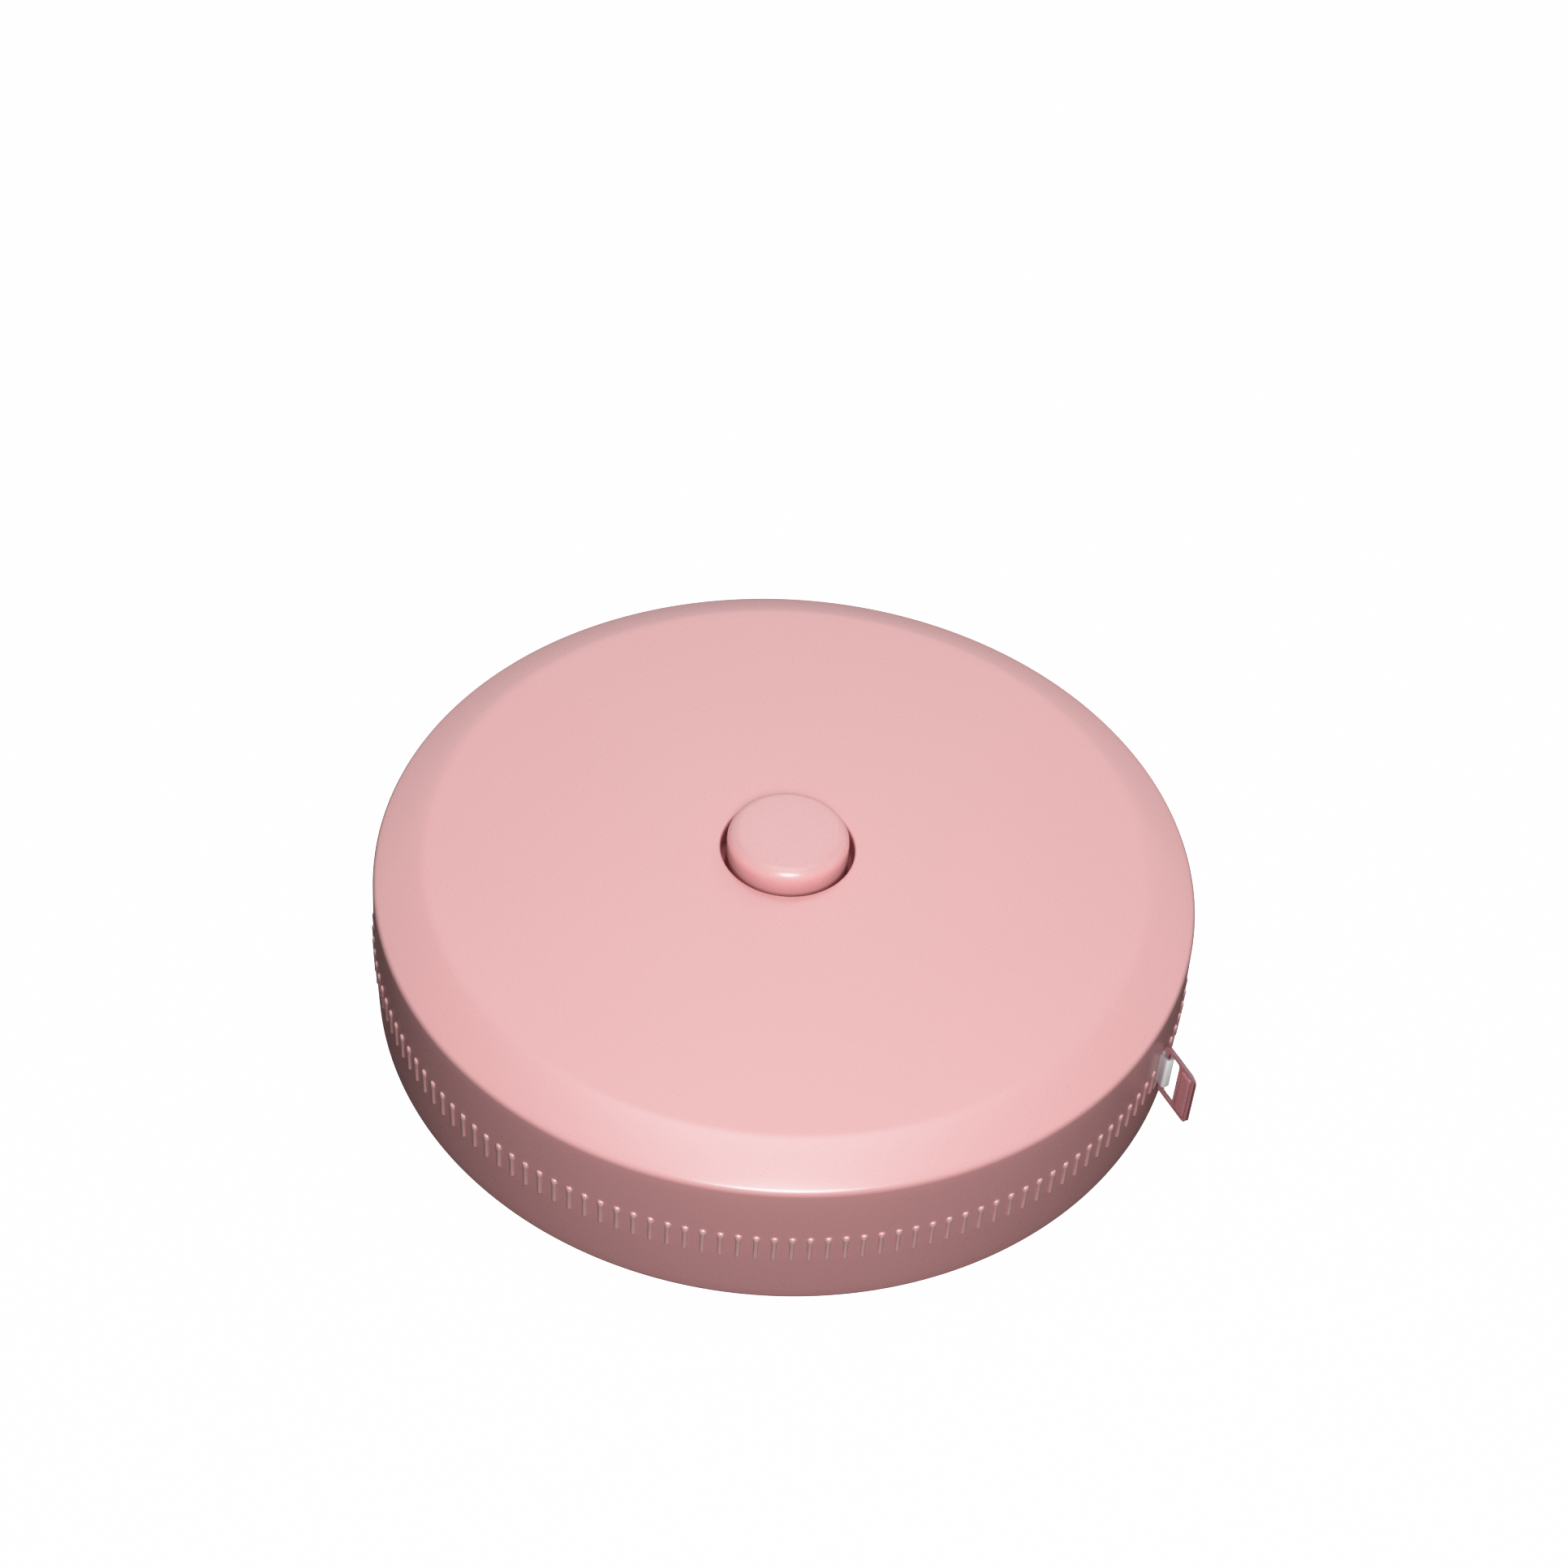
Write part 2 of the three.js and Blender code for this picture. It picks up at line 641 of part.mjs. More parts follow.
const tapeMeasure = group(
  "tape_measure",
  group(
    "case",
    piece("top_shell", topShell(), pinkShell),
    piece("bottom_shell", bottomShell(), pinkShell),
    piece("centre_post", centrePost(), steel),
    piece("thrust_washer", thrustWasher(), nylonWhite),
    piece("mouth_pin_inner", mouthPin(...pinPlaces[0]), steel),
    piece("mouth_pin_outer", mouthPin(...pinPlaces[1]), steel),
    piece("power_spring", powerSpring(), springSteel),
    piece("button_spring", buttonSpring(), springSteel),
    ...screws,
  ),
  group(
    "button",
    piece("release_button", releaseButton(), pinkShell),
    piece("brake_disc", brakeDisc(), nylonWhite),
    piece("brake_pad", brakePad(), rubber),
  ),
  group(
    "spool",
    piece("reel", reel(), nylonWhite),
    piece("reel_cover", reelCover(), nylonWhite),
    piece("tape_winding", tapeWinding(), tapeWhite),
    piece("tape_outer_turn", tapeOuterTurn(), tapeWhite),
  ),
  group(
    "tape_end",
    piece("tape_run", tapeRun(), tapeWhite),
    piece("tape_loop", tapeLoop(), tapeWhite),
    piece("pull_tab", pullTab(), pinkTab),
  ),
);

export default tapeMeasure;
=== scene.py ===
"""A round push-button tape measure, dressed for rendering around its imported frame.

Sizes in the classes are millimetres and angles are degrees, unless a name says otherwise.
Meshes are made in metres, in the frame's own axes: +Z up, +X the way the tape pulls out.
"""

import logging
from collections.abc import Sequence
from dataclasses import dataclass, field
from enum import Enum

import bmesh
import bpy
import numpy as np
from mathutils import Matrix


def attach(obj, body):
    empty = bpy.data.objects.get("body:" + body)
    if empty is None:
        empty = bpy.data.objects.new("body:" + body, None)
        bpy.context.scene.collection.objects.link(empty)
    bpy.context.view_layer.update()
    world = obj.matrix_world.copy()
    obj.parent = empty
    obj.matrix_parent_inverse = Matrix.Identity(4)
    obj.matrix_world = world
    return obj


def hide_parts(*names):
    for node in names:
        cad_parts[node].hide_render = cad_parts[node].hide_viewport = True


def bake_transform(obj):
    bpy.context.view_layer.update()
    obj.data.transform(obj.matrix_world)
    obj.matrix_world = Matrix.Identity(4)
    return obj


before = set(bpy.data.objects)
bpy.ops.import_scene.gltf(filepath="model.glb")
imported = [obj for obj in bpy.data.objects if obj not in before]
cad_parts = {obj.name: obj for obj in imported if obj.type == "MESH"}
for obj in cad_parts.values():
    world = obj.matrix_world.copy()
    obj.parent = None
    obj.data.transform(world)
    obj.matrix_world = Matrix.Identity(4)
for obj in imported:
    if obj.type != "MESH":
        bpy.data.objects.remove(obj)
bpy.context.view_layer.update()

MM = 0.001
TURN = 2 * np.pi
# A shorter length than TINY counts as none, and points within SAME_POINT count as one.
TINY = 1e-6
SAME_POINT = 1e-5
# A corner that bends by less than this, in radians, isn't rounded.
STRAIGHT = 1e-3
# An arc takes up at most this share of the shorter side at its corner.
LONGEST_ARC = 0.48
# How far a cutting volume reaches past what it cuts, and how far an added form is sunk into it.
OVERCUT = 1.0
SUNK = 0.05

Array = np.ndarray
Mesh = bpy.types.Mesh
Socket = bpy.types.NodeSocket
Pair = tuple[float, float]
Place = Pair
Triple = tuple[float, float, float]
Colour = Triple
Corners = list[Triple]

log = logging.getLogger("tape_measure")


class Body(str, Enum):
    """The rigid bodies that pieces ride on."""

    CASE = "case"
    BUTTON = "button"
    SPOOL = "spool"
    TAPE_END = "tape_end"


class Slot(str, Enum):
    """The record's material slots."""

    CASE = "case_plastic"
    BUTTON = "button_plastic"
    TAB = "tab_plastic"
    TAPE = "tape"
    REEL = "reel_plastic"
    RUBBER = "brake_rubber"
    STEEL = "steel"
    SPRING = "spring_steel"


class Scale(Enum):
    """How a length of tape is printed."""

    NONE = "left plain, where the print would fall inside a fold or between turns"
    STRAIGHT = "read along X"
    ROUND = "read round the reel"


# Outlines and surfaces


def polar(radius: Array | float, angle: Array | float) -> Array:
    """Points in XY at a radius and an angle in radians: (radius cos angle, radius sin angle)."""
    return np.stack(np.broadcast_arrays(radius * np.cos(angle), radius * np.sin(angle)), -1)


def around(count: int) -> Array:
    """Evenly spaced angles round a full turn, in radians."""
    return np.arange(count) * TURN / count


def raised(flat: Array, height: Array | float) -> Array:
    """Points in XY with a height as their third value."""
    return np.concatenate([flat, np.broadcast_to(height, flat.shape[:-1])[..., None]], -1)


def unit(vectors: Array) -> Array:
    """Vectors at a length of 1."""
    return vectors / np.linalg.norm(vectors, axis=-1, keepdims=True)


def stepped(across: Sequence[float], heights: Sequence[float], soft: float | Sequence[float]) -> Corners:
    """The corners of a closed outline with flat and upright sides only.

    From each place across it goes flat to the next one, and then upright to the next height.

    Args:
        across: The radii or other places across, in order.
        heights: As many heights.
        soft: How much each corner is rounded, or one value for all.

    Returns:
        Two corners for each height, as (across, height, rounding).
    """
    flats = zip(heights, across, [*across[1:], across[0]])
    corners = [(x, height) for height, start, end in flats for x in (start, end)]
    return [(*corner, r) for corner, r in zip(corners, np.broadcast_to(soft, len(corners)))]


def rounded(corners: Corners, steps: int = 5) -> Array:
    """Rounds the corners of a closed outline.

    Each corner becomes an arc that touches both its sides. The arc leaves the corner by its
    radius over the tangent of half the corner's angle, held to a share of the shorter side.
    Its points are the two end spokes mixed along the sphere between them.

    Args:
        corners: The outline as (x, y, radius), in order.
        steps: How many chords an arc has.

    Returns:
        The rounded outline as an array of (x, y), without doubled points.
    """
    table = np.array(corners, float)
    at, radius = table[:, :2], table[:, 2]
    back, ahead = np.roll(at, 1, 0) - at, np.roll(at, -1, 0) - at
    reach = np.minimum(np.linalg.norm(back, axis=1), np.linalg.norm(ahead, axis=1))
    back, ahead = unit(back), unit(ahead)
    half = np.arccos(np.clip((back * ahead).sum(1), -1, 1)) / 2
    off = np.minimum(radius / np.tan(half), LONGEST_ARC * reach)
    sweep = np.pi - 2 * half
    middle = (back + ahead) / np.maximum(np.linalg.norm(back + ahead, axis=1), TINY)[:, None]
    centre = at + middle * (off / np.cos(half))[:, None]
    start, end = at + back * off[:, None] - centre, at + ahead * off[:, None] - centre
    t = np.linspace(0, 1, steps + 1)[None, :]
    sine = np.maximum(np.sin(sweep), TINY)[:, None]
    mix = np.sin((1 - t) * sweep[:, None]) / sine, np.sin(t * sweep[:, None]) / sine
    arcs = centre[:, None] + mix[0][..., None] * start[:, None] + mix[1][..., None] * end[:, None]
    plain = (off < TINY) | (sweep < STRAIGHT)
    arcs[plain] = at[plain][:, None]
    points = arcs.reshape(-1, 2)
    return points[np.linalg.norm(points - np.roll(points, 1, 0), axis=1) > SAME_POINT]


class Surface:
    """A mesh in the making: patches of points and faces, in millimetres."""

    def __init__(self) -> None:
        """Starts with no points."""
        self.points: list[Array] = []
        self.faces: list[Array] = []
        self.count = 0

    def add_points(self, points: Array) -> Array:
        """Adds points of any array shape and returns their numbers in that shape."""
        index = np.arange(points[..., 0].size).reshape(points.shape[:-1]) + self.count
        self.points.append(points.reshape(-1, 3))
        self.count += index.size
        return index

    def add_quads(self, index: Array, wrap_rows: bool = False) -> None:
        """Joins neighbouring points of a grid, closed across, into four-sided faces.

        Args:
            index: Point numbers, rows by columns, with any axes before them for copies.
            wrap_rows: Whether the last row joins the first.
        """
        if wrap_rows:
            index = np.concatenate([index, index[..., :1, :]], -2)
        index = np.concatenate([index, index[..., :, :1]], -1)
        near, far = index[..., :-1, :], index[..., 1:, :]
        quads = [near[..., :-1], near[..., 1:], far[..., 1:], far[..., :-1]]
        self.faces.append(np.stack(quads, -1).reshape(-1, 4))

    def add_fan(self, ring: Array, tip: Array) -> None:
        """Closes rings of point numbers (copies by columns) with triangles to a new tip for each."""
        tips = np.broadcast_to(self.add_points(tip)[..., None], ring.shape)
        self.faces.append(np.stack([ring, np.roll(ring, -1, -1), tips], -1).reshape(-1, 3))

    def add_turned(self, outline: Array, sides: int, at: Place = (0, 0)) -> None:
        """Turns an outline of (radius, height) about an upright line.

        A point of the surface is (x + r cos a, y + r sin a, h), with r and h from the outline
        and a from evenly spaced angles. Points on the axis become poles.

        Args:
            outline: Closed outline, or one whose ends lie on the axis.
            sides: How many angles there are.
            at: The upright line's place.
        """
        on_axis = outline[:, 0] < TINY
        body = outline[~on_axis]
        index = self.add_points(raised(polar(body[:, :1], around(sides)) + np.array(at), body[:, 1:]))
        self.add_quads(index, wrap_rows=not on_axis.any())
        if on_axis.any():
            for end in (0, -1):
                self.add_fan(index[end], np.array([*at, outline[on_axis][end][1]], float))

    def add_swept(self, path: Array, across: Array, up: Array, section: Array) -> None:
        """Carries a flat section along an open path and caps its ends.

        A point is path + across x + up y, for each (x, y) of the section.

        Args:
            path: Points along the way.
            across: The section's first direction at each of them.
            up: The section's second direction at each of them.
            section: The section's outline as (x, y).
        """
        spread = across[:, None] * section[None, :, :1] + up[:, None] * section[None, :, 1:]
        index = self.add_points(path[:, None] + spread)
        self.add_quads(index)
        for end in (0, -1):
            self.add_fan(index[end], path[end])

    def add_block(self, low: Sequence[float], high: Sequence[float]) -> None:
        """Adds a box between two corners."""
        pick = np.array([[[x, y, z] for x, y in ((0, 0), (1, 0), (1, 1), (0, 1))] for z in (0, 1)])
        index = self.add_points(np.where(pick == 1, high, low).astype(float))
        self.add_quads(index)
        self.faces.append(index)

    def mesh(self, name: str) -> Mesh:
        """Makes the Blender mesh, in metres, with its faces pointing outwards."""
        data = bpy.data.meshes.new(name)
        faces = [face for patch in self.faces for face in patch.tolist()]
        data.from_pydata(np.concatenate(self.points) * MM, [], faces)
        work = bmesh.new()
        work.from_mesh(data)
        bmesh.ops.remove_doubles(work, verts=work.verts, dist=SAME_POINT * MM)
        bmesh.ops.recalc_face_normals(work, faces=work.faces)
        work.to_mesh(data)
        work.free()
        return data


def turned(corners: Corners, sides: int, places: Sequence[Place] = ((0, 0),), steps: int = 5) -> Surface:
    """Rounds an outline and turns it about an upright line at each place."""
    made = Surface()
    for at in places:
        made.add_turned(rounded(corners, steps), sides, at)
    return made


def block(low: Sequence[float], high: Sequence[float]) -> Surface:
    """A box between two corners."""
    made = Surface()
    made.add_block(low, high)
    return made


def strip(
    flat: Array, along: Array, thick: float, span: Pair, soft: float = 0.06, steps: int = 2
) -> Surface:
    """A strip that stands on edge and follows a line seen from above.

    Args:
        flat: The middle line, as (x, y).
        along: The line's direction at each of its points, or one for all.
        thick: How thick the strip is.
        span: The heights of its lower and upper edge.
        soft: How much its edges are rounded.
        steps: How many chords each rounding has.

    Returns:
        The strip, closed at both ends.
    """
    ahead = unit(along)
    out = raised(np.column_stack([ahead[:, 1], -ahead[:, 0]]), 0.0)
    half, tall = thick / 2, (span[1] - span[0]) / 2
    section = rounded(stepped((-half, half), (-tall, tall), soft), steps)
    made = Surface()
    made.add_swept(raised(flat, sum(span) / 2), out, np.array([[0.0, 0.0, 1.0]]), section)
    return made


def added(name: str, data: bpy.types.ID) -> bpy.types.Object:
    """Adds an object with its data to the scene."""
    made = bpy.data.objects.new(name, data)
    bpy.context.scene.collection.objects.link(made)
    return made


def cut(body: Mesh, *tools: Surface) -> Mesh:
    """Takes the tools' volumes out of a closed mesh and returns what is left."""
    for tool in tools:
        parts = [added("cut", data) for data in (body, tool.mesh("tool"))]
        boolean = parts[0].modifiers.new("cut", "BOOLEAN")
        boolean.object, boolean.operation, boolean.solver = parts[1], "DIFFERENCE", "EXACT"
        bpy.context.view_layer.update()
        graph = bpy.context.evaluated_depsgraph_get()
        body = bpy.data.meshes.new_from_object(parts[0].evaluated_get(graph))
        for part in parts:
            bpy.data.objects.remove(part)
    return body


def joined(body: Mesh, *extras: Surface) -> Mesh:
    """Gathers a mesh and surfaces into one mesh, each as an island of it."""
    work = bmesh.new()
    for data in (body, *(extra.mesh("extra") for extra in extras)):
        work.from_mesh(data)
    whole = bpy.data.meshes.new(body.name)
    work.to_mesh(whole)
    work.free()
    return whole


# Finishes


class Nodes:
    """A short hand for adding nodes to a tree."""

    def __init__(self, tree: bpy.types.NodeTree) -> None:
        """Starts on a tree."""
        self.tree = tree

    def node(self, kind: str, inputs: dict | None = None, **settings: object) -> bpy.types.Node:
        """Adds a node.

        Args:
            kind: The node's type, without the word ShaderNode.
            inputs: Socket name or number to a value, or to another node's output.
            settings: The node's own properties.

        Returns:
            The new node.
        """
        made = self.tree.nodes.new("ShaderNode" + kind)
        for key, value in settings.items():
            setattr(made, key, value)
        for key, value in (inputs or {}).items():
            self.feed(made.inputs[key], value)
        return made

    def feed(self, socket: Socket, value: object) -> None:
        """Links an output to a socket, or sets the socket's value."""
        if isinstance(value, Socket):
            self.tree.links.new(value, socket)
        else:
            socket.default_value = value

    def math(self, operation: str, *values: object) -> Socket:
        """A sum on one to three values or outputs."""
        return self.node("Math", dict(enumerate(values)), operation=operation).outputs[0]

    def vector(self, operation: str, *values: object) -> Sequence[Socket]:
        """A vector's sum: the vector that it gives, and its value."""
        return self.node("VectorMath", dict(enumerate(values)), operation=operation).outputs

    def split(self, vector: object) -> Sequence[Socket]:
        """The three parts of a vector."""
        return self.node("SeparateXYZ", {0: vector}).outputs


class Shader(Nodes):
    """One material's nodes, around a Principled shader."""

    def __init__(self, name: str) -> None:
        """Starts a material with its shader, Object coordinates and surface direction."""
        self.material = bpy.data.materials.new(name)
        self.material.use_nodes = True
        super().__init__(self.material.node_tree)
        self.surface = self.tree.nodes["Principled BSDF"]
        given = self.node("TexCoord").outputs
        self.place, self.normal = given["Object"], given["Normal"]

    def radius(self) -> Socket:
        """The distance from the case's axis."""
        return self.vector("LENGTH", self.vector("MULTIPLY", self.place, (1.0, 1.0, 0.0))[0])["Value"]

    def noise(self, size: float, detail: float = 2.0, place: object = None) -> Socket:
        """Soft noise whose blots are about a size across, in millimetres, from 0 to 1."""
        inputs = {"Vector": place or self.place, "Scale": 1 / (size * MM), "Detail": detail}
        return self.node("TexNoise", inputs).outputs["Fac"]

    def spread(
        self, value: object, low: float, high: float, start: float = 0.3, end: float = 0.7
    ) -> Socket:
        """Maps a value between start and end onto low to high."""
        inputs = {"Value": value, "From Min": start, "From Max": end, "To Min": low, "To Max": high}
        return self.node("MapRange", inputs).outputs["Result"]

    def mix(self, share: object, first: object, second: object) -> Socket:
        """Mixes two colours by a share."""
        return self.node("Mix", {0: share, 6: first, 7: second}, data_type="RGBA").outputs[2]

    def bump(self, height: object, depth: float, under: object = None) -> Socket:
        """Bump of a depth in millimetres from a height of 0 to 1, over another bump."""
        inputs = {"Height": height, "Distance": depth * MM, "Strength": 1.0}
        if under is not None:
            inputs["Normal"] = under
        return self.node("Bump", inputs).outputs["Normal"]

    def finish(self, **sockets: object) -> bpy.types.Material:
        """Feeds the Principled shader's sockets, named with _ for a space, and returns the material."""
        for key, value in sockets.items():
            self.feed(self.surface.inputs[key.replace("_", " ")], value)
        return self.material


def opaque(colour: Colour) -> tuple[float, ...]:
    """A colour with full opacity."""
    return (*colour, 1.0)


def shifted(colour: Colour, share: float) -> tuple[float, ...]:
    """A colour made lighter or darker by a share."""
    return opaque(tuple(min(1.0, part * (1 + share)) for part in colour))


def about(middle: float, drift: float) -> Pair:
    """The two values that lie a drift below and above a middle one."""
    return middle - drift, middle + drift


@dataclass(frozen=True)
class Finish:
    """What a piece is made of, and the record's slot for it."""

    name: str
    slot: Slot
    colour: Colour

    def material(self) -> bpy.types.Material:
        """Builds the finish."""
        raise NotImplementedError


@dataclass(frozen=True)
class MouldedPlastic(Finish):
    """Moulded plastic: an even colour with faint clouding, and the fine grain of its mould.

    Edges may be painted lighter or darker than flat faces as painted light and shade, the gap round the
    button may carry painted shade, and what stands far out from the axis may be painted paler as a painted
    sheen.
    """

    roughness: float = 0.3
    gloss_drift: float = 0.03
    clouding: float = 0.018
    cloud_size: float = 9.0
    grain_size: float = 0.11
    grain_depth: float = 0.0006
    wave_size: float = 6.0
    wave_depth: float = 0.006
    glow: float = 0.0
    glow_reach: float = 0.8
    glow_tint: Colour = (1.0, 0.35, 0.3)
    shine: float = 0.75
    # Painted edge light and shade: faces that don't face along the flat_along axis are painted darker by
    # this share, or lighter when it is below 0.
    painted_edge_shade: float = 0.0
    flat_along: int = 1
    painted_edge_span: Pair = (0.45, 0.9)
    # Painted shade in the gap round the button: within this radius, above the foot and below the heights
    # where it fades out, in this colour.
    gap_shade_radius: float = 0.0
    gap_shade_foot: float = 9.5
    gap_shade_low: float = 12.2
    gap_shade_high: float = 12.55
    gap_shade_colour: Colour = (0.42, 0.1, 0.115)
    # Painted sheen: what stands out from the axis between these radii is painted paler, in this colour.
    painted_sheen_from: float = 0.0
    painted_sheen_to: float = 25.14
    painted_sheen_colour: Colour = (0.75, 0.46, 0.45)

    def tone(self, made: Shader) -> Socket:
        """The clouded colour, with the painted edge light and shade, the painted shade in the gap and the
        painted sheen far out, where it has them.
        """
        pale, deep = shifted(self.colour, self.clouding), shifted(self.colour, -self.clouding)
        tone = made.mix(made.noise(self.cloud_size, 3.0), deep, pale)
        # Painted light and shade on the edges, by how the faces turn from one axis.
        if self.painted_edge_shade:
            across = made.math("ABSOLUTE", made.split(made.normal)[self.flat_along])
            flat = made.spread(across, 0.0, 1.0, *self.painted_edge_span)
            tone = made.mix(flat, shifted(self.colour, -self.painted_edge_shade), tone)
        # Painted shade deep in the gap round the button.
        if self.gap_shade_radius:
            tone = made.mix(self.gap_shade(made), tone, opaque(self.gap_shade_colour))
        # Painted sheen on the ribs' outermost crests and heads.
        if self.painted_sheen_from:
            painted_sheen = made.spread(made.radius(), 0.0, 1.0, self.painted_sheen_from * MM, self.painted_sheen_to * MM)
            tone = made.mix(painted_sheen, tone, opaque(self.painted_sheen_colour))
        return tone

    def gap_shade(self, made: Shader) -> Socket:
        """Painted shade in the gap round the button: 1 deep in the gap, fading out towards the disc's
        surface, and 0 below it.
        """
        height = made.split(made.place)[2]
        deep = made.spread(height, 1.0, 0.0, self.gap_shade_low * MM, self.gap_shade_high * MM)
        near = made.math("MULTIPLY", deep, made.math("LESS_THAN", made.radius(), self.gap_shade_radius * MM))
        return made.math("MULTIPLY", near, made.math("GREATER_THAN", height, self.gap_shade_foot * MM))

    def material(self) -> bpy.types.Material:
        """Builds the finish."""
        made = Shader(self.name)
        grain = made.noise(self.grain_size, 1.0)
        waves = made.bump(made.noise(self.wave_size), self.wave_depth)
        return made.finish(
            Base_Color=self.tone(made),
            Roughness=made.spread(grain, *about(self.roughness, self.gloss_drift)),
            Normal=made.bump(grain, self.grain_depth, waves),
            Specular_IOR_Level=self.shine,
            Subsurface_Weight=self.glow,
            Subsurface_Radius=self.glow_tint,
            Subsurface_Scale=self.glow_reach * MM,
        )


@dataclass(frozen=True)
class Steel(Finish):
    """Drawn or turned steel: fine lines along one axis and a dull shine."""

    roughness: float = 0.32
    gloss_drift: float = 0.08
    line_size: float = 0.05
    line_length: float = 2.5
    line_depth: float = 0.0015
    stain_size: float = 2.0
    staining: float = 0.06

    def material(self) -> bpy.types.Material:
        """Builds the finish."""
        made = Shader(self.name)
        stretch = (1.0, 1.0, self.line_size / self.line_length)
        lines = made.noise(self.line_size, 2.0, made.vector("MULTIPLY", made.place, stretch)[0])
        stains = made.noise(self.stain_size, 3.0)
        return made.finish(
            Base_Color=made.mix(stains, shifted(self.colour, -self.staining), opaque(self.colour)),
            Metallic=1.0,
            Roughness=made.spread(lines, *about(self.roughness, self.gloss_drift)),
            Normal=made.bump(lines, self.line_depth),
        )


@dataclass(frozen=True)
class Rubber(Finish):
    """Dull friction rubber with a pitted face."""

    pit_size: float = 0.25
    pit_depth: float = 0.02
    darkest: float = -0.2
    lightest: float = 0.25
    roughness: Pair = (0.75, 0.92)

    def material(self) -> bpy.types.Material:
        """Builds the finish."""
        made = Shader(self.name)
        pits = made.noise(self.pit_size, 4.0)
        deep, pale = (shifted(self.colour, share) for share in (self.darkest, self.lightest))
        return made.finish(
            Base_Color=made.mix(pits, deep, pale),
            Roughness=made.spread(pits, *self.roughness),
            Normal=made.bump(pits, self.pit_depth),
        )


@dataclass(frozen=True)
class CoatedTape(Finish):
    """White coated tape: a fine weave under the coat, and a centimetre scale printed on its face.

    The scale counts from the tape's tip when the tape is fully out. Its lines stand across the tape at every
    millimetre, longer at every fifth and full at every tenth. The folded end has none; it carries a painted
    highlight along its crisp fold and painted shade on its cut edges, the faces that look up and down.
    """

    scale: Scale = Scale.NONE
    ink: Colour = (0.03, 0.03, 0.035)
    tip: float = 20.47
    travel: float = 1500.0
    turn_radius: float = 15.33
    top: float = 7.425
    thread: float = 0.09
    thread_depth: float = 0.006
    cloud_size: float = 1.4
    clouding: float = 0.05
    line_width: float = 0.12
    lines: tuple[Pair, ...] = ((1.0, 0.5), (5.0, 0.75), (10.0, 1.05))
    roughness: float = 0.5
    gloss_drift: float = 0.06
    plain_end: float = 9.0
    # Painted shade on the cut edges that look up and down: how much darker they are painted, and over which
    # share of the upright normal.
    painted_edge_shade: float = 0.6
    painted_edge_span: Pair = (0.4, 0.8)
    # Painted highlight along the fold: its colour, and where along X it fades in.
    fold: Colour = (0.9, 0.93, 0.93)
    fold_highlight_span: Pair = (20.27, 20.42)

    def along(self, made: Shader) -> tuple[Socket, Socket]:
        """Distance from the tip along the tape, and down from its top edge, in millimetres.

        Round the reel the distance is the turn's radius times the angle about Z.
        """
        apart = made.split(made.place)
        down = made.math("SUBTRACT", self.top, made.math("MULTIPLY", apart[2], 1 / MM))
        if self.scale is Scale.ROUND:
            turn = made.math("ARCTAN2", apart[1], apart[0])
            return made.math("MULTIPLY_ADD", turn, self.turn_radius, self.travel), down
        x = made.math("MULTIPLY", apart[0], 1 / MM)
        return made.math("SUBTRACT", self.tip + self.travel, x), down

    def printed(self, made: Shader, out: Socket, down: Socket, cloth: Socket) -> Socket:
        """The cloth with the scale on it: lines at each spacing that reach down by their length."""
        ink = 0.0
        for every, length in self.lines:
            near = made.math("LESS_THAN", made.math("PINGPONG", out, every / 2), self.line_width / 2)
            line = made.math("MULTIPLY", near, made.math("LESS_THAN", down, length))
            ink = made.math("MAXIMUM", ink, line)
        ink = made.math("MULTIPLY", ink, made.math("GREATER_THAN", out, self.plain_end))
        return made.mix(ink, cloth, opaque(self.ink))

    def painted_fold_and_edges(self, made: Shader, cloth: Socket) -> Socket:
        """The cloth of the folded end, with a painted highlight along its fold and painted shade on its cut
        edges.
        """
        # Painted highlight along the fold, then painted shade on the cut edges.
        x = made.math("MULTIPLY", made.split(made.place)[0], 1 / MM)
        cloth = made.mix(made.spread(x, 0.0, 1.0, *self.fold_highlight_span), cloth, opaque(self.fold))
        upright = made.math("ABSOLUTE", made.split(made.normal)[2])
        shaded_edge = made.spread(upright, 0.0, 1.0, *self.painted_edge_span)
        return made.mix(shaded_edge, cloth, shifted(self.colour, -self.painted_edge_shade))

    def material(self) -> bpy.types.Material:
        """Builds the finish."""
        made = Shader(self.name)
        out, down = self.along(made)
        warp, weft = (
            made.math("SINE", made.math("MULTIPLY", way, TURN / self.thread)) for way in (out, down)
        )
        weave = made.spread(made.math("MULTIPLY", warp, weft), 0.0, 1.0, -1.0, 1.0)
        clouds = made.noise(self.cloud_size, 3.0)
        cloth = made.mix(clouds, shifted(self.colour, -self.clouding), opaque(self.colour))
        plain = self.scale is Scale.NONE
        cloth = self.painted_fold_and_edges(made, cloth) if plain else self.printed(made, out, down, cloth)
        return made.finish(
            Base_Color=cloth,
            Roughness=made.spread(weave, *about(self.roughness, self.gloss_drift), 0.0, 1.0),
            Normal=made.bump(weave, self.thread_depth),
        )


# The case carries painted shade in the button's hole and a painted sheen on the ribs' crests.
PINK_CASE = MouldedPlastic(
    "pink_case_plastic", Slot.CASE, (0.65, 0.315, 0.32), gap_shade_radius=4.09, painted_sheen_from=25.07
)
# The button's sides are painted lighter as painted light, and its stem is painted darker deep in the gap as
# painted shade.
PINK_BUTTON = MouldedPlastic(
    "pink_button_plastic",
    Slot.BUTTON,
    (0.66, 0.34, 0.345),
    grain_depth=0.0003,
    glow=0.3,
    painted_edge_shade=-0.22,
    flat_along=2,
    gap_shade_radius=6.0,
)
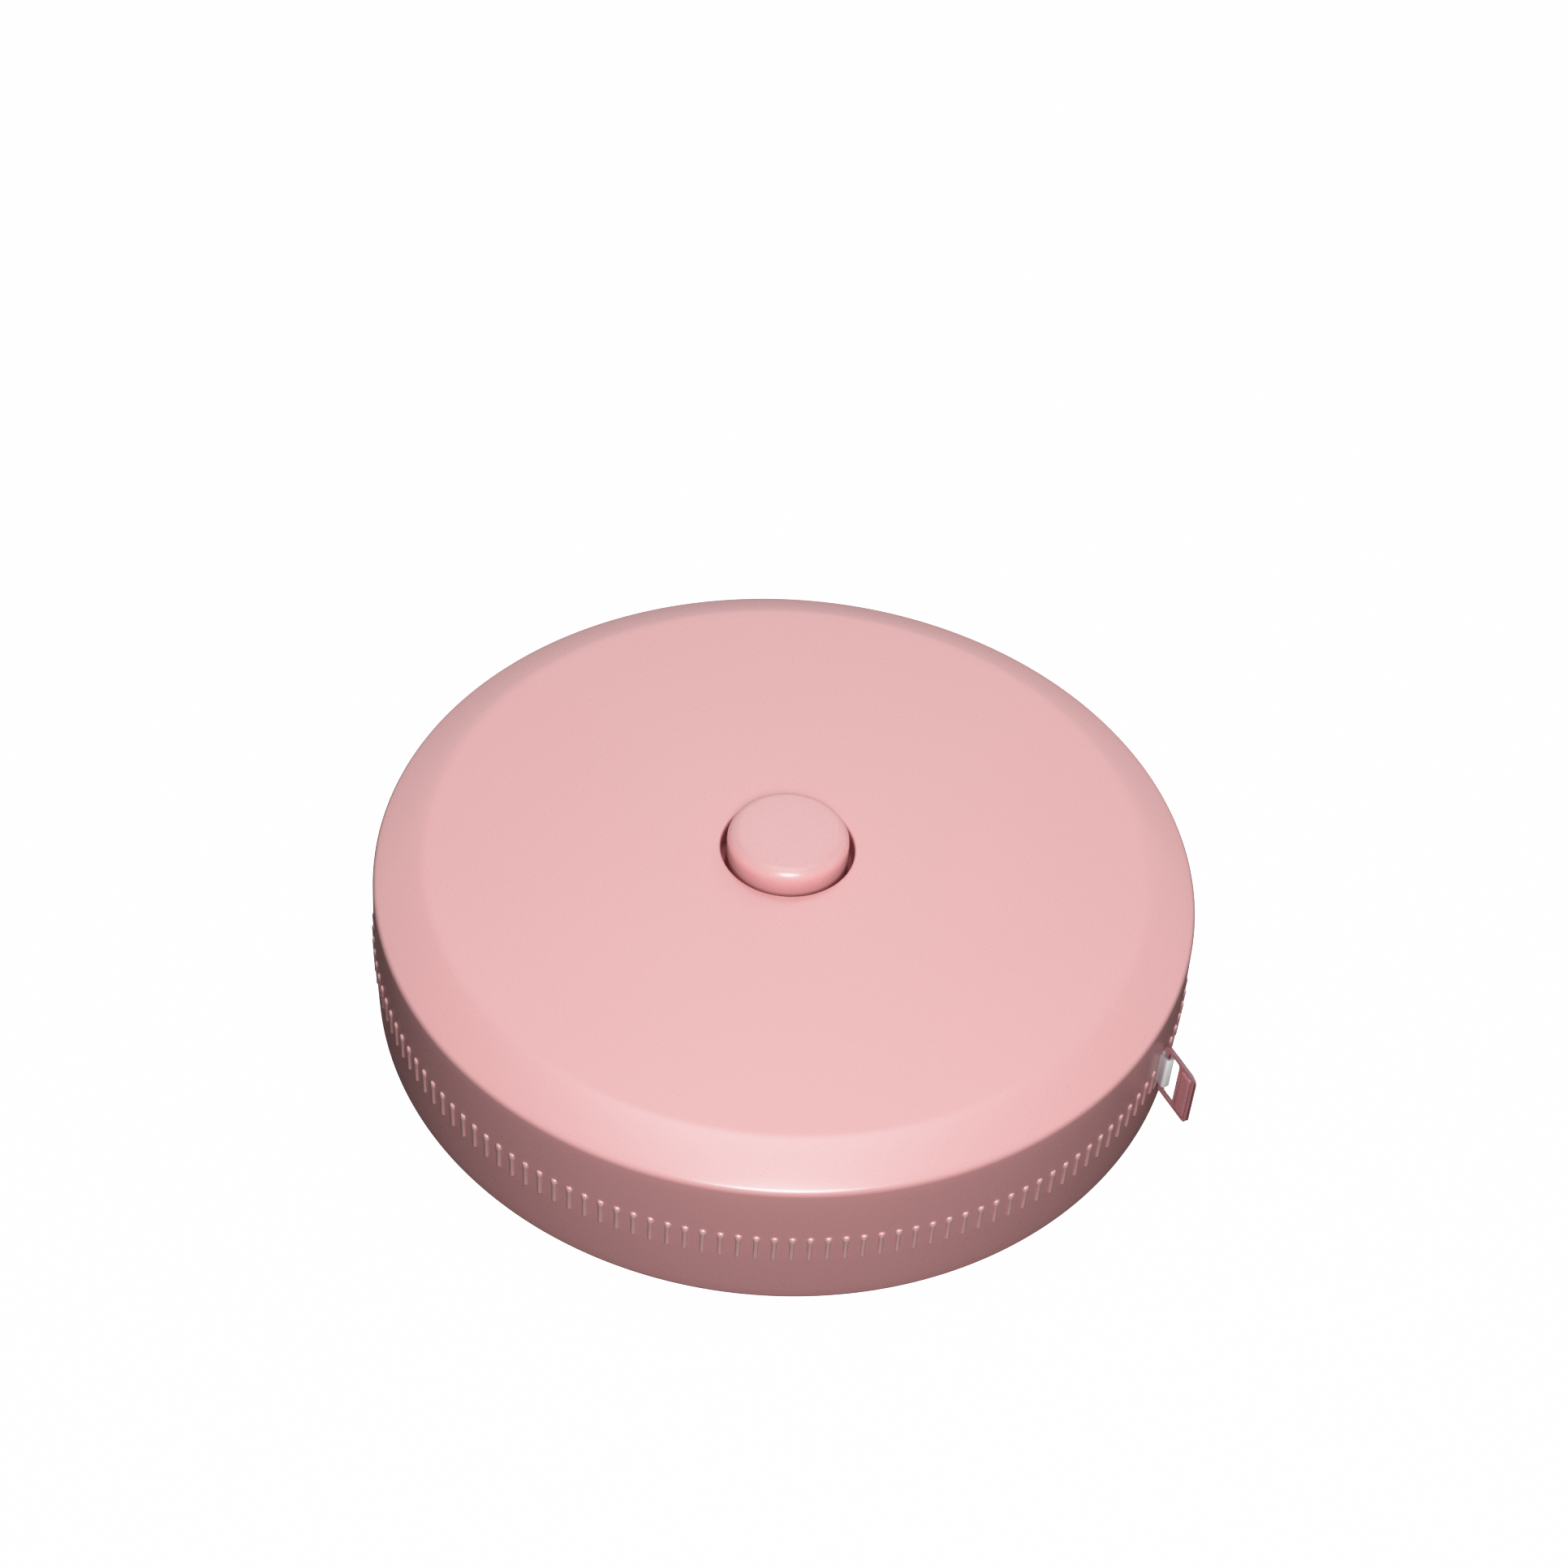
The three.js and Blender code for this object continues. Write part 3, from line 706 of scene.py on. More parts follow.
# The tab's narrow edges are painted darker, as painted shade.
PINK_TAB = MouldedPlastic(
    "pink_tab_plastic", Slot.TAB, (0.56, 0.24, 0.26), grain_depth=0.0005, painted_edge_shade=0.75
)
WHITE_NYLON = MouldedPlastic("white_nylon", Slot.REEL, (0.8, 0.78, 0.73), roughness=0.5, glow=0.1)
BRAKE_RUBBER = Rubber("brake_rubber", Slot.RUBBER, (0.03, 0.028, 0.028))
PLAIN_STEEL = Steel("plain_steel", Slot.STEEL, (0.55, 0.56, 0.58))
SPRING_STEEL = Steel("spring_steel", Slot.SPRING, (0.2, 0.21, 0.23), roughness=0.38)
# Plain tape, painted darker and pinker than the printed tape, as painted shade with pink bounce light.
SHADED_WHITE_TAPE = CoatedTape("white_tape", Slot.TAPE, (0.64, 0.57, 0.6))
SCALED_TAPE = CoatedTape("white_tape_with_scale", Slot.TAPE, (0.74, 0.73, 0.7), Scale.STRAIGHT)
WOUND_SCALED_TAPE = CoatedTape("white_tape_with_round_scale", Slot.TAPE, (0.74, 0.73, 0.7), Scale.ROUND)


def piece(
    name: str, made: Surface | Mesh, finish: Finish, node: str, body: Body | None, sharp: float = 32.0
) -> bpy.types.Object:
    """Dresses a finished form as a piece that stands for a CAD node.

    Args:
        name: The piece's name.
        made: Its surface or mesh, in place.
        finish: What it is made of.
        node: The node that it replaces.
        body: The body that it rides on, or None for none.
        sharp: The bend above which an edge is shaded as a crease.

    Returns:
        The piece.
    """
    data = made.mesh(name) if isinstance(made, Surface) else made
    data.name = name
    data.shade_smooth()
    data.set_sharp_from_angle(angle=np.radians(sharp))
    data.materials.clear()
    data.materials.append(bpy.data.materials.get(finish.name) or finish.material())
    dressed = added(name, data)
    if body is not None:
        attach(dressed, body.value)
    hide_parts(node)
    log.info("%s: %d faces, for %s", name, len(data.polygons), node)
    return dressed


# The case


@dataclass
class Mouth:
    """The slot that the tape leaves by, in the wall, and the two pins that guide it there."""

    slot_low: Triple = (17.35, 14.85, 4.625)
    slot_high: Triple = (25.75, 15.62, 7.725)
    pin_radius: float = 0.6
    pin_low: float = 1.6
    pin_high: float = 10.75
    pin_chamfer: float = 0.12
    cup: float = 1.2
    cup_hole: float = 0.7
    cup_low: float = 2.6
    cup_high: float = 9.75
    inner_pin: Place = (16.953, 14.33)
    outer_pin: Place = (14.953, 16.33)
    sides: int = 40

    def tool(self) -> Surface:
        """The slot's volume."""
        return block(self.slot_low, self.slot_high)

    def pin(self, at: Place) -> Surface:
        """A plain steel pin with chamfered ends: an outline turned about its own line."""
        ends = (self.pin_low, self.pin_high)
        soft = (0, self.pin_chamfer, self.pin_chamfer, 0)
        return turned(stepped((0, self.pin_radius), ends, soft), self.sides, [at])

    def cups(self, seat: float, mouth: float, bed: float) -> Surface:
        """The cups that hold one end of each pin: from their seat to a mouth, with a bed inside."""
        outline = stepped((0, self.cup, self.cup_hole), (seat, mouth, bed), (0, 0, 0.1, 0.06, 0, 0))
        return turned(outline, self.sides, [self.inner_pin, self.outer_pin])


@dataclass
class Screws:
    """The three screws that close the case from below, with their posts in both shells."""

    circle: float = 20.0
    count: int = 3
    first_turn: float = 0.28
    shank: float = 0.62
    thread: float = 0.13
    ridge: float = 0.35
    pitch: float = 0.8
    run_in: Pair = (0.3, 0.4)
    head: float = 1.4
    head_low: float = 0.6
    head_top: float = 1.6
    tip: float = 8.8
    tip_cone: float = 1.1
    tip_power: float = 0.8
    cross: Pair = (0.9, 0.19)
    cross_depth: float = 0.5
    boss: float = 2.3
    recess: float = 1.7
    shaft: float = 0.95
    tower: float = 1.7
    pilot: float = 0.85
    shank_rows: int = 130
    shank_sides: int = 36
    head_sides: int = 56
    tower_sides: int = 48

    def places(self) -> list[Place]:
        """Where the screws stand."""
        return [tuple(polar(self.circle, TURN * self.first_turn + turn)) for turn in around(self.count)]

    def screw(self, at: Place) -> Mesh:
        """A pan-head screw, head down, with a cross cut in its head.

        The shank's radius is the core's plus the thread's height times a ridge that is 1 on the
        helix height = pitch (turn + whole number) and falls to 0 within a share of the pitch. The
        ridge fades in below the head and shrinks with the core over the pointed tip.
        """
        heights = np.linspace(self.head_top, self.tip - SUNK, self.shank_rows)[:, None]
        angles = around(self.shank_sides)
        turn = heights / self.pitch - angles / TURN
        ridge = np.clip(1 - np.abs(turn - np.round(turn)) / self.ridge, 0, 1)
        taper = np.clip((self.tip - heights) / self.tip_cone, 0, 1) ** self.tip_power
        start = np.clip((heights - self.head_top - self.run_in[0]) / self.run_in[1], 0, 1)
        radius = (self.shank + self.thread * ridge * start) * taper
        shank = Surface()
        index = shank.add_points(raised(polar(radius, angles) + np.array(at), heights))
        shank.add_quads(index)
        for row, end in ((0, self.head_top - SUNK), (-1, self.tip)):
            shank.add_fan(index[row], np.array([*at, end]))
        outline = stepped((0, self.head), (self.head_low, self.head_top), (0, 0.45, 0.06, 0))
        bars = []
        for x, y in (self.cross, self.cross[::-1]):
            low = (at[0] - x, at[1] - y, self.head_low - OVERCUT)
            bars.append(block(low, (at[0] + x, at[1] + y, self.head_low + self.cross_depth)))
        head = turned(outline, self.head_sides, [at], steps=7).mesh("screw")
        return joined(cut(head, *bars), shank)

    def posts(self, floor: float, part: float) -> Surface:
        """The lower shell's posts, each with a shaft and the recess for a head."""
        heights = (floor, part, self.head_top)
        outline = stepped((self.recess, self.boss, self.shaft), heights, (0, 0, 0.12, 0.08, 0.05, 0.05))
        return turned(outline, self.head_sides, self.places())

    def towers(self, part: float, ceiling: float) -> Surface:
        """The upper shell's posts, each with a pilot hole."""
        outline = stepped((self.pilot, self.tower), (part, ceiling), (0.08, 0.12, 0, 0))
        return turned(outline, self.tower_sides, self.places())

    def recesses(self) -> Surface:
        """The volume of the head recesses in the floor."""
        outline = stepped((0, self.recess), (-OVERCUT, self.head_top - SUNK), 0)
        return turned(outline, self.head_sides, self.places())


@dataclass
class GripBand:
    """The ribs round the upper shell's wall: upright pins with broader heads, half sunk in it.

    A rib's steps are its height above its foot, its half width and its half depth there.
    """

    count: int = 156
    axis: float = 24.98
    low: float = 5.2
    phase: float = 36.93
    facets: int = 6
    steps: tuple[Triple, ...] = (
        (0.0, 0.1, 0.11),
        (0.07, 0.16, 0.165),
        (1.45, 0.17, 0.175),
        (1.58, 0.23, 0.19),
        (1.8, 0.23, 0.19),
        (1.9, 0.18, 0.155),
        (1.95, 0.1, 0.09),
    )

    def angles(self, mouth: Mouth) -> Array:
        """The ribs' angles in radians, save those whose width would meet the mouth."""
        every = np.radians(self.phase) + around(self.count)
        y = self.axis * np.sin(every)
        half = max(width for _, width, _ in self.steps) * np.cos(every)
        taken = (np.cos(every) > 0) & (y + half > mouth.slot_low[1]) & (y - half < mouth.slot_high[1])
        return every[~taken]

    def ribs(self, mouth: Mouth) -> Surface:
        """All ribs at once.

        One rib is a stack of ovals, one to a step: out = axis + depth cos t, side = width sin t,
        with equal facets on the outer half and a single point on the half within the wall.
        Copies stand at their angles with their axes just inside the wall.
        """
        height, width, depth = np.array(self.steps).T[..., None]
        ring = np.append(np.linspace(-TURN / 4, TURN / 4, self.facets + 1), TURN / 2)
        out, side = self.axis + depth * np.cos(ring), width * np.sin(ring)
        angles = self.angles(mouth)
        turn = angles[:, None, None]
        flat = polar(out, turn) + polar(side, turn + TURN / 4)
        made = Surface()
        index = made.add_points(raised(flat, self.low + height))
        made.add_quads(index)
        for row in (0, -1):
            made.add_fan(index[:, row], raised(polar(self.axis, angles), self.low + height[row]))
        return made


@dataclass
class Case:
    """The two shells, with what is fixed in them."""

    radius: float = 25.04
    disc: float = 22.0
    rim_z: float = 10.95
    disc_z: float = 12.35
    dome_rise: float = 0.33
    hole: float = 4.07
    hole_round: float = 0.12
    rim_round: float = 0.5
    wall_crown: float = 0.09
    disc_round: float = 2.0
    wall: float = 1.44
    corner_round: float = 0.6
    ceiling: float = 11.15
    floor: float = 1.2
    part_z: float = 5.2
    band_top: float = 7.15
    lip: float = 24.15
    lip_clear: float = 24.3
    lip_top: float = 7.0
    ring_drop: float = 1.4
    guide_inner: float = 6.2
    guide_outer: float = 7.1
    guide_low: float = 9.2
    bearing: float = 4.3
    bearing_z: float = 1.6
    socket: float = 1.5
    socket_z: float = 0.5
    sunk: float = 0.1
    upper_wall: tuple[float, ...] = (10.0, 9.4, 8.7, 7.9, 7.1, 6.2, 5.2)
    lower_wall: tuple[float, ...] = (2.4, 3.0, 3.6, 4.4, 5.2)
    sides: int = 312
    dome_steps: int = 28
    ring_steps: int = 4
    ring_power: float = 1.16
    mouth: Mouth = field(default_factory=Mouth)
    screws: Screws = field(default_factory=Screws)
    band: GripBand = field(default_factory=GripBand)

    def dome(self) -> Corners:
        """The domed disc from the hole to its edge: the rise times one less the share squared."""
        share = np.linspace(0, 1, self.dome_steps + 1)[1:-1]
        radii = self.hole + (self.disc - self.hole) * share
        return [(r, z, 0.0) for r, z in zip(radii, self.disc_z + self.dome_rise * (1 - share**2))]

    def ring(self) -> Corners:
        """The ring from the disc's edge to the rim, a little domed: its drop is a power of the share."""
        share = np.linspace(0, 1, self.ring_steps + 1)[1:-1]
        radii = self.disc + (self.radius - self.wall_crown - self.disc) * share
        heights = self.disc_z - (self.disc_z - self.rim_z) * share**self.ring_power
        return [(r, z, 0.0) for r, z in zip(radii, heights)]

    def outside(self, heights: Sequence[float]) -> Corners:
        """Wall points: the radius less the crown times the share squared from mid-height to rim."""
        middle = (self.rim_z + self.ring_drop) / 2
        share = (np.array(heights) - middle) / (self.rim_z - middle)
        return [(self.radius - self.wall_crown * part**2, z, 0.0) for part, z in zip(share, heights)]

    def upper_outline(self) -> Corners:
        """The upper shell's section, from the hole's lower edge out over the dome and back inside."""
        inner, edge = self.radius - self.wall, self.radius - self.wall_crown
        return [
            (self.hole, self.ceiling, 0.1),
            (self.hole, self.disc_z + self.dome_rise, self.hole_round),
            *self.dome(),
            (self.disc, self.disc_z, self.disc_round),
            *self.ring(),
            (edge, self.rim_z, self.rim_round),
            *self.outside(self.upper_wall),
            (self.lip_clear, self.part_z, 0.05),
            (self.lip_clear, self.band_top, 0.05),
            (inner, self.band_top, 0.05),
            (inner, self.ceiling - self.ring_drop, self.corner_round),
            (self.disc - self.wall, self.ceiling, self.corner_round),
            (self.guide_outer, self.ceiling, 0.2),
            (self.guide_outer, self.guide_low, 0.1),
            (self.guide_inner, self.guide_low, 0.1),
            (self.guide_inner, self.ceiling, 0.2),
        ]

    def lower_outline(self) -> Corners:
        """The lower shell's section, from the middle of the underside out and back inside."""
        inner, edge = self.radius - self.wall, self.radius - self.wall_crown
        return [
            (0, 0, 0),
            (self.disc, 0, self.disc_round),
            (edge, self.ring_drop, self.rim_round),
            *self.outside(self.lower_wall),
            (self.lip, self.part_z, 0.03),
            (self.lip, self.lip_top, 0.12),
            (inner, self.lip_top, 0.08),
            (inner, self.floor + self.ring_drop, self.corner_round),
            (self.disc - self.wall, self.floor, self.corner_round),
            (self.bearing, self.floor, 0.15),
            (self.bearing, self.bearing_z, 0.08),
            (self.socket, self.bearing_z, 0.06),
            (self.socket, self.socket_z, 0),
            (0, self.socket_z, 0),
        ]

    def upper(self) -> None:
        """The upper shell: its turned section, cut by the mouth, with ribs, towers and cups."""
        shell = turned(self.upper_outline(), self.sides, steps=6).mesh("upper_case")
        mouth, seat = self.mouth, self.ceiling + self.sunk
        ribs, towers = self.band.ribs(mouth), self.screws.towers(self.part_z, seat)
        cups = mouth.cups(seat, mouth.cup_high, mouth.pin_high)
        whole = joined(cut(shell, mouth.tool()), ribs, towers, cups)
        piece("upper_case", whole, PINK_CASE, "top_shell", Body.CASE)

    def lower(self) -> None:
        """The lower shell: its turned section, cut by the mouth and the screw recesses."""
        shell = turned(self.lower_outline(), self.sides, steps=6).mesh("lower_case")
        mouth, seat = self.mouth, self.floor - self.sunk
        posts = self.screws.posts(seat, self.part_z)
        cups = mouth.cups(seat, mouth.cup_low, mouth.pin_low)
        whole = joined(cut(shell, mouth.tool(), self.screws.recesses()), posts, cups)
        piece("lower_case", whole, PINK_CASE, "bottom_shell", Body.CASE)

    def build(self) -> None:
        """Builds and dresses the shells, the guide pins and the screws."""
        self.upper()
        self.lower()
        for side, at in (("inner", self.mouth.inner_pin), ("outer", self.mouth.outer_pin)):
            piece(f"{side}_guide_pin", self.mouth.pin(at), PLAIN_STEEL, f"mouth_pin_{side}", Body.CASE)
        for number, at in enumerate(self.screws.places(), 1):
            screw = self.screws.screw(at)
            piece(f"closing_screw_{number}", screw, PLAIN_STEEL, f"case_screw_{number}", Body.CASE, sharp=40)


# The post, springs and reel


@dataclass
class Hub:
    """The fixed post with its washer, and the two springs that it carries."""

    radius: float = 2.0
    foot: float = 1.4
    foot_z: float = 0.6
    seat_z: float = 1.6
    shoulder_z: float = 7.35
    pin: float = 1.0
    pin_top: float = 10.55
    slit_half: float = 0.3
    slit_depth: float = 1.2
    slit_low: float = 2.8
    slit_high: float = 5.45
    washer_bore: float = 2.2
    washer_outer: float = 4.3
    washer_top: float = 1.9
    coil_wire: float = 0.35
    coil_radius: float = 1.55
    coil_low: float = 7.45
    coil_high: float = 12.78
    coil_turns: float = 6.0
    coil_flat: float = 0.08
    strip: float = 0.2
    strip_span: Pair = (2.9, 5.35)
    strip_inner: float = 2.3
    strip_outer: float = 10.61
    strip_turns: float = 8.0
    leg_in: float = 1.4
    leg_end: float = 2.18
    leg_out: float = 11.26
    post_sides: int = 72
    washer_sides: int = 96
    wire_sides: int = 12
    coil_points: int = 260
    strip_points: int = 900
    leg_points: int = 8
    skipped_points: int = 6

    def post(self) -> None:
        """The stepped post with the slit for the power spring's inner leg."""
        heights = (self.foot_z, self.seat_z, self.shoulder_z, self.pin_top)
        outline = stepped((0, self.foot, self.radius, self.pin), heights, (0, 0.12, 0, 0, 0.08, 0, 0.2, 0))
        low = (self.radius - self.slit_depth, -self.slit_half, self.slit_low)
        slit = block(low, (self.radius + OVERCUT, self.slit_half, self.slit_high))
        data = cut(turned(outline, self.post_sides).mesh("reel_post"), slit)
        piece("reel_post", data, PLAIN_STEEL, "centre_post", Body.CASE)

    def washer(self) -> None:
        """The slip washer."""
        outline = stepped((self.washer_bore, self.washer_outer), (self.seat_z, self.washer_top), 0.06)
        made = turned(outline, self.washer_sides)
        piece("slip_washer", made, WHITE_NYLON, "thrust_washer", Body.CASE)

    def lift_spring(self) -> None:
        """The button's coil spring: round wire along a helix whose end turns lie flat.

        The height follows the turn, held at both ends so that the last turns close up.
        """
        share = np.linspace(0, 1, self.coil_points)
        angle = TURN * self.coil_turns * share
        climb = np.clip((share - self.coil_flat) / (1 - 2 * self.coil_flat), 0, 1)
        low, high = self.coil_low + self.coil_wire / 2, self.coil_high - self.coil_wire / 2
        path = raised(polar(self.coil_radius, angle), low + (high - low) * climb)
        out = raised(polar(1.0, angle), 0.0)
        up = np.cross(unit(np.gradient(path, axis=0)), out)
        made = Surface()
        made.add_swept(path, out, up, polar(self.coil_wire / 2, around(self.wire_sides)))
        coil = piece("button_coil", made, SPRING_STEEL, "button_spring", None)
        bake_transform(coil)

    def spring_strip(self, name: str, flat: Array, body: Body) -> None:
        """Part of the power spring, along a middle line seen from above."""
        made = strip(flat, np.gradient(flat, axis=0), self.strip, self.strip_span)
        piece(name, made, SPRING_STEEL, "power_spring", body, sharp=50)

    def power_spring(self) -> None:
        """The flat spiral spring that rewinds the tape, and its outer leg in the drum's notch.

        The strip's middle line runs straight out of the post's slit and bends into a spiral
        whose radius grows evenly with the turn. The outer leg turns with the drum.
        """
        share = np.linspace(0, 1, self.strip_points)
        radius = self.strip_inner + (self.strip_outer - self.strip_inner) * share
        spiral = polar(radius, TURN * self.strip_turns * share)[self.skipped_points :]
        ends = (self.leg_in, self.leg_end), (self.strip_outer + self.strip / 2, self.leg_out)
        inner, outer = (polar(np.linspace(*leg, self.leg_points), 0.0) for leg in ends)
        self.spring_strip("rewind_spring", np.concatenate([inner, spiral]), Body.CASE)
        self.spring_strip("spring_hook", outer, Body.SPOOL)

    def build(self) -> None:
        """Builds and dresses the post, washer and springs."""
        self.post()
        self.washer()
        self.lift_spring()
        self.power_spring()


@dataclass
class Reel:
    """The drum with its flanges, and the tape wound on it."""

    bore: float = 2.2
    drum_inner: float = 10.81
    drum: float = 11.71
    web_low: float = 2.1
    web_high: float = 2.7
    lid_low: float = 8.4
    lid_high: float = 9.0
    lid_bore: float = 3.4
    step_inner: float = 11.91
    step_outer: float = 12.61
    flange: float = 16.6
    flange_low: float = 4.05
    flange_thick: float = 0.6
    cover_low: float = 7.7
    tape_low: float = 4.925
    tape_high: float = 7.425
    wound_inner: float = 11.81
    wound_outer: float = 14.73
    scallop: float = 0.05
    outer_turn: float = 15.33
    outer_sweep: float = 355.0
    strip: float = 0.2
    notch_half: float = 0.3
    notch_low: float = 2.8
    sides: int = 180
    points_a_turn: int = 4
    strip_points: int = 220

    def drum_piece(self) -> None:
        """The drum with its web and lower flange, notched for the power spring's leg."""
        across = (self.bore, self.drum, self.flange, self.drum, self.drum_inner)
        flange_high = self.flange_low + self.flange_thick
        heights = (self.web_low, self.flange_low, flange_high, self.lid_low, self.web_high)
        outline = stepped(across, heights, (0.1, 0.3, 0.05, 0.2, 0.2, 0.1, 0.1, 0.1, 0.2, 0.1))
        low = (self.drum_inner - OVERCUT, -self.notch_half, self.notch_low)
        notch = block(low, (self.drum + OVERCUT, self.notch_half, self.lid_low + OVERCUT))
        data = cut(turned(outline, self.sides).mesh("reel_drum"), notch)
        piece("reel_drum", data, WHITE_NYLON, "reel", Body.SPOOL)

    def lid_piece(self) -> None:
        """The lid and upper flange."""
        across = (self.lid_bore, self.step_inner, self.flange, self.step_outer)
        heights = (self.lid_low, self.cover_low, self.cover_low + self.flange_thick, self.lid_high)
        outline = stepped(across, heights, (0.1, 0, 0.05, 0.2, 0.2, 0.1, 0.15, 0.1))
        piece("reel_lid", turned(outline, self.sides), WHITE_NYLON, "reel_cover", Body.SPOOL)

    def winding(self) -> None:
        """The tape's inner turns: a ring whose two faces show each turn's edge.

        The faces drop by a shallow scallop between turns: its depth times one less the
        absolute sine of the turn number times pi, below the tape's width.
        """
        turns = round((self.wound_outer - self.wound_inner) / self.strip)
        radii = np.linspace(self.wound_inner, self.wound_outer, turns * self.points_a_turn + 1)
        drop = self.scallop * (1 - np.abs(np.sin(np.pi * (radii - self.wound_inner) / self.strip)))
        under = np.column_stack([radii, self.tape_low + drop])
        over = np.column_stack([radii, self.tape_high - drop])[::-1]
        made = Surface()
        made.add_turned(np.concatenate([under, over]), self.sides)
        piece("wound_tape", made, SHADED_WHITE_TAPE, "tape_winding", Body.SPOOL, sharp=60)

    def last_turn(self) -> None:
        """The outermost turn: a strip on a spiral that ends one layer lower, not quite a turn on."""
        share = np.linspace(0, 1, self.strip_points)
        angle = TURN / 4 + np.radians(self.outer_sweep) * share
        flat = polar(self.outer_turn - self.strip / 2 - self.strip * share, angle)
        made = strip(flat, np.gradient(flat, axis=0), self.strip, (self.tape_low, self.tape_high), 0.05)
        piece("outer_turn", made, WOUND_SCALED_TAPE, "tape_outer_turn", Body.SPOOL, sharp=50)

    def build(self) -> None:
        """Builds and dresses the reel and its tape."""
        self.drum_piece()
        self.lid_piece()
        self.winding()
        self.last_turn()


# The button


@dataclass
class PushButton:
    """The button, and the brake that it carries on its stem."""

    radius: float = 3.7
    top: float = 14.08
    edge: float = 0.8
    crown: float = 0.05
    crown_share: float = 0.5
    collar: float = 4.9
    collar_low: float = 10.4
    collar_high: float = 11.0
    stem: float = 3.1
    stem_bore: float = 2.3
    bore_top: float = 12.88
    stem_low: float = 6.75
    neck: float = 2.75
    snap: float = 3.0
    snap_high: float = 7.05
    pad_low: float = 7.75
    pad_high: float = 8.25
    pad_inner: float = 4.0
    pad_outer: float = 5.8
    disc_low: float = 7.15
    disc_inner: float = 2.85
    disc: float = 6.0
    sides: int = 160

    def button(self) -> None:
        """The button with its collar and stem: one closed section, turned.

        Its face is crowned: the top less the crown times the share of the radius squared.
        """
        share = np.linspace(self.crown_share, 0, 8)[:-1]
        face = [(self.radius * s, self.top - self.crown * s**2, 0.0) for s in share]
        outline = [
            (0, self.bore_top, 0),
            (self.stem_bore, self.bore_top, 0.15),
            (self.stem_bore, self.stem_low, 0.05),
            (self.snap, self.stem_low, 0.12),
            (self.snap, self.snap_high, 0.05),
            (self.neck, self.snap_high, 0.03),
            (self.neck, self.pad_low, 0.03),
            (self.stem, self.pad_low, 0.05),
            (self.stem, self.collar_low, 0.1),
            (self.collar, self.collar_low, 0.1),
            (self.collar, self.collar_high, 0.1),
            (self.radius, self.collar_high, 0.1),
            (self.radius, self.top - self.crown, self.edge),
            *face,
            (0, self.top, 0),
        ]
        made = turned(outline, self.sides, steps=12)
        piece("push_button", made, PINK_BUTTON, "release_button", Body.BUTTON)

    def brake(self) -> None:
        """The disc snapped on the stem, and the friction ring on it."""
        across, heights = (self.disc_inner, self.disc), (self.disc_low, self.pad_low)
        disc = turned(stepped(across, heights, (0.06, 0.12, 0.12, 0.06)), self.sides)
        piece("brake_plate", disc, WHITE_NYLON, "brake_disc", Body.BUTTON)
        across, heights = (self.pad_inner, self.pad_outer), (self.pad_low, self.pad_high)
        pad = turned(stepped(across, heights, (0.04, 0.04, 0.1, 0.1)), self.sides)
        piece("friction_ring", pad, BRAKE_RUBBER, "brake_pad", Body.BUTTON)

    def build(self) -> None:
        """Builds and dresses the button and brake."""
        self.button()
        self.brake()


# The tape's end


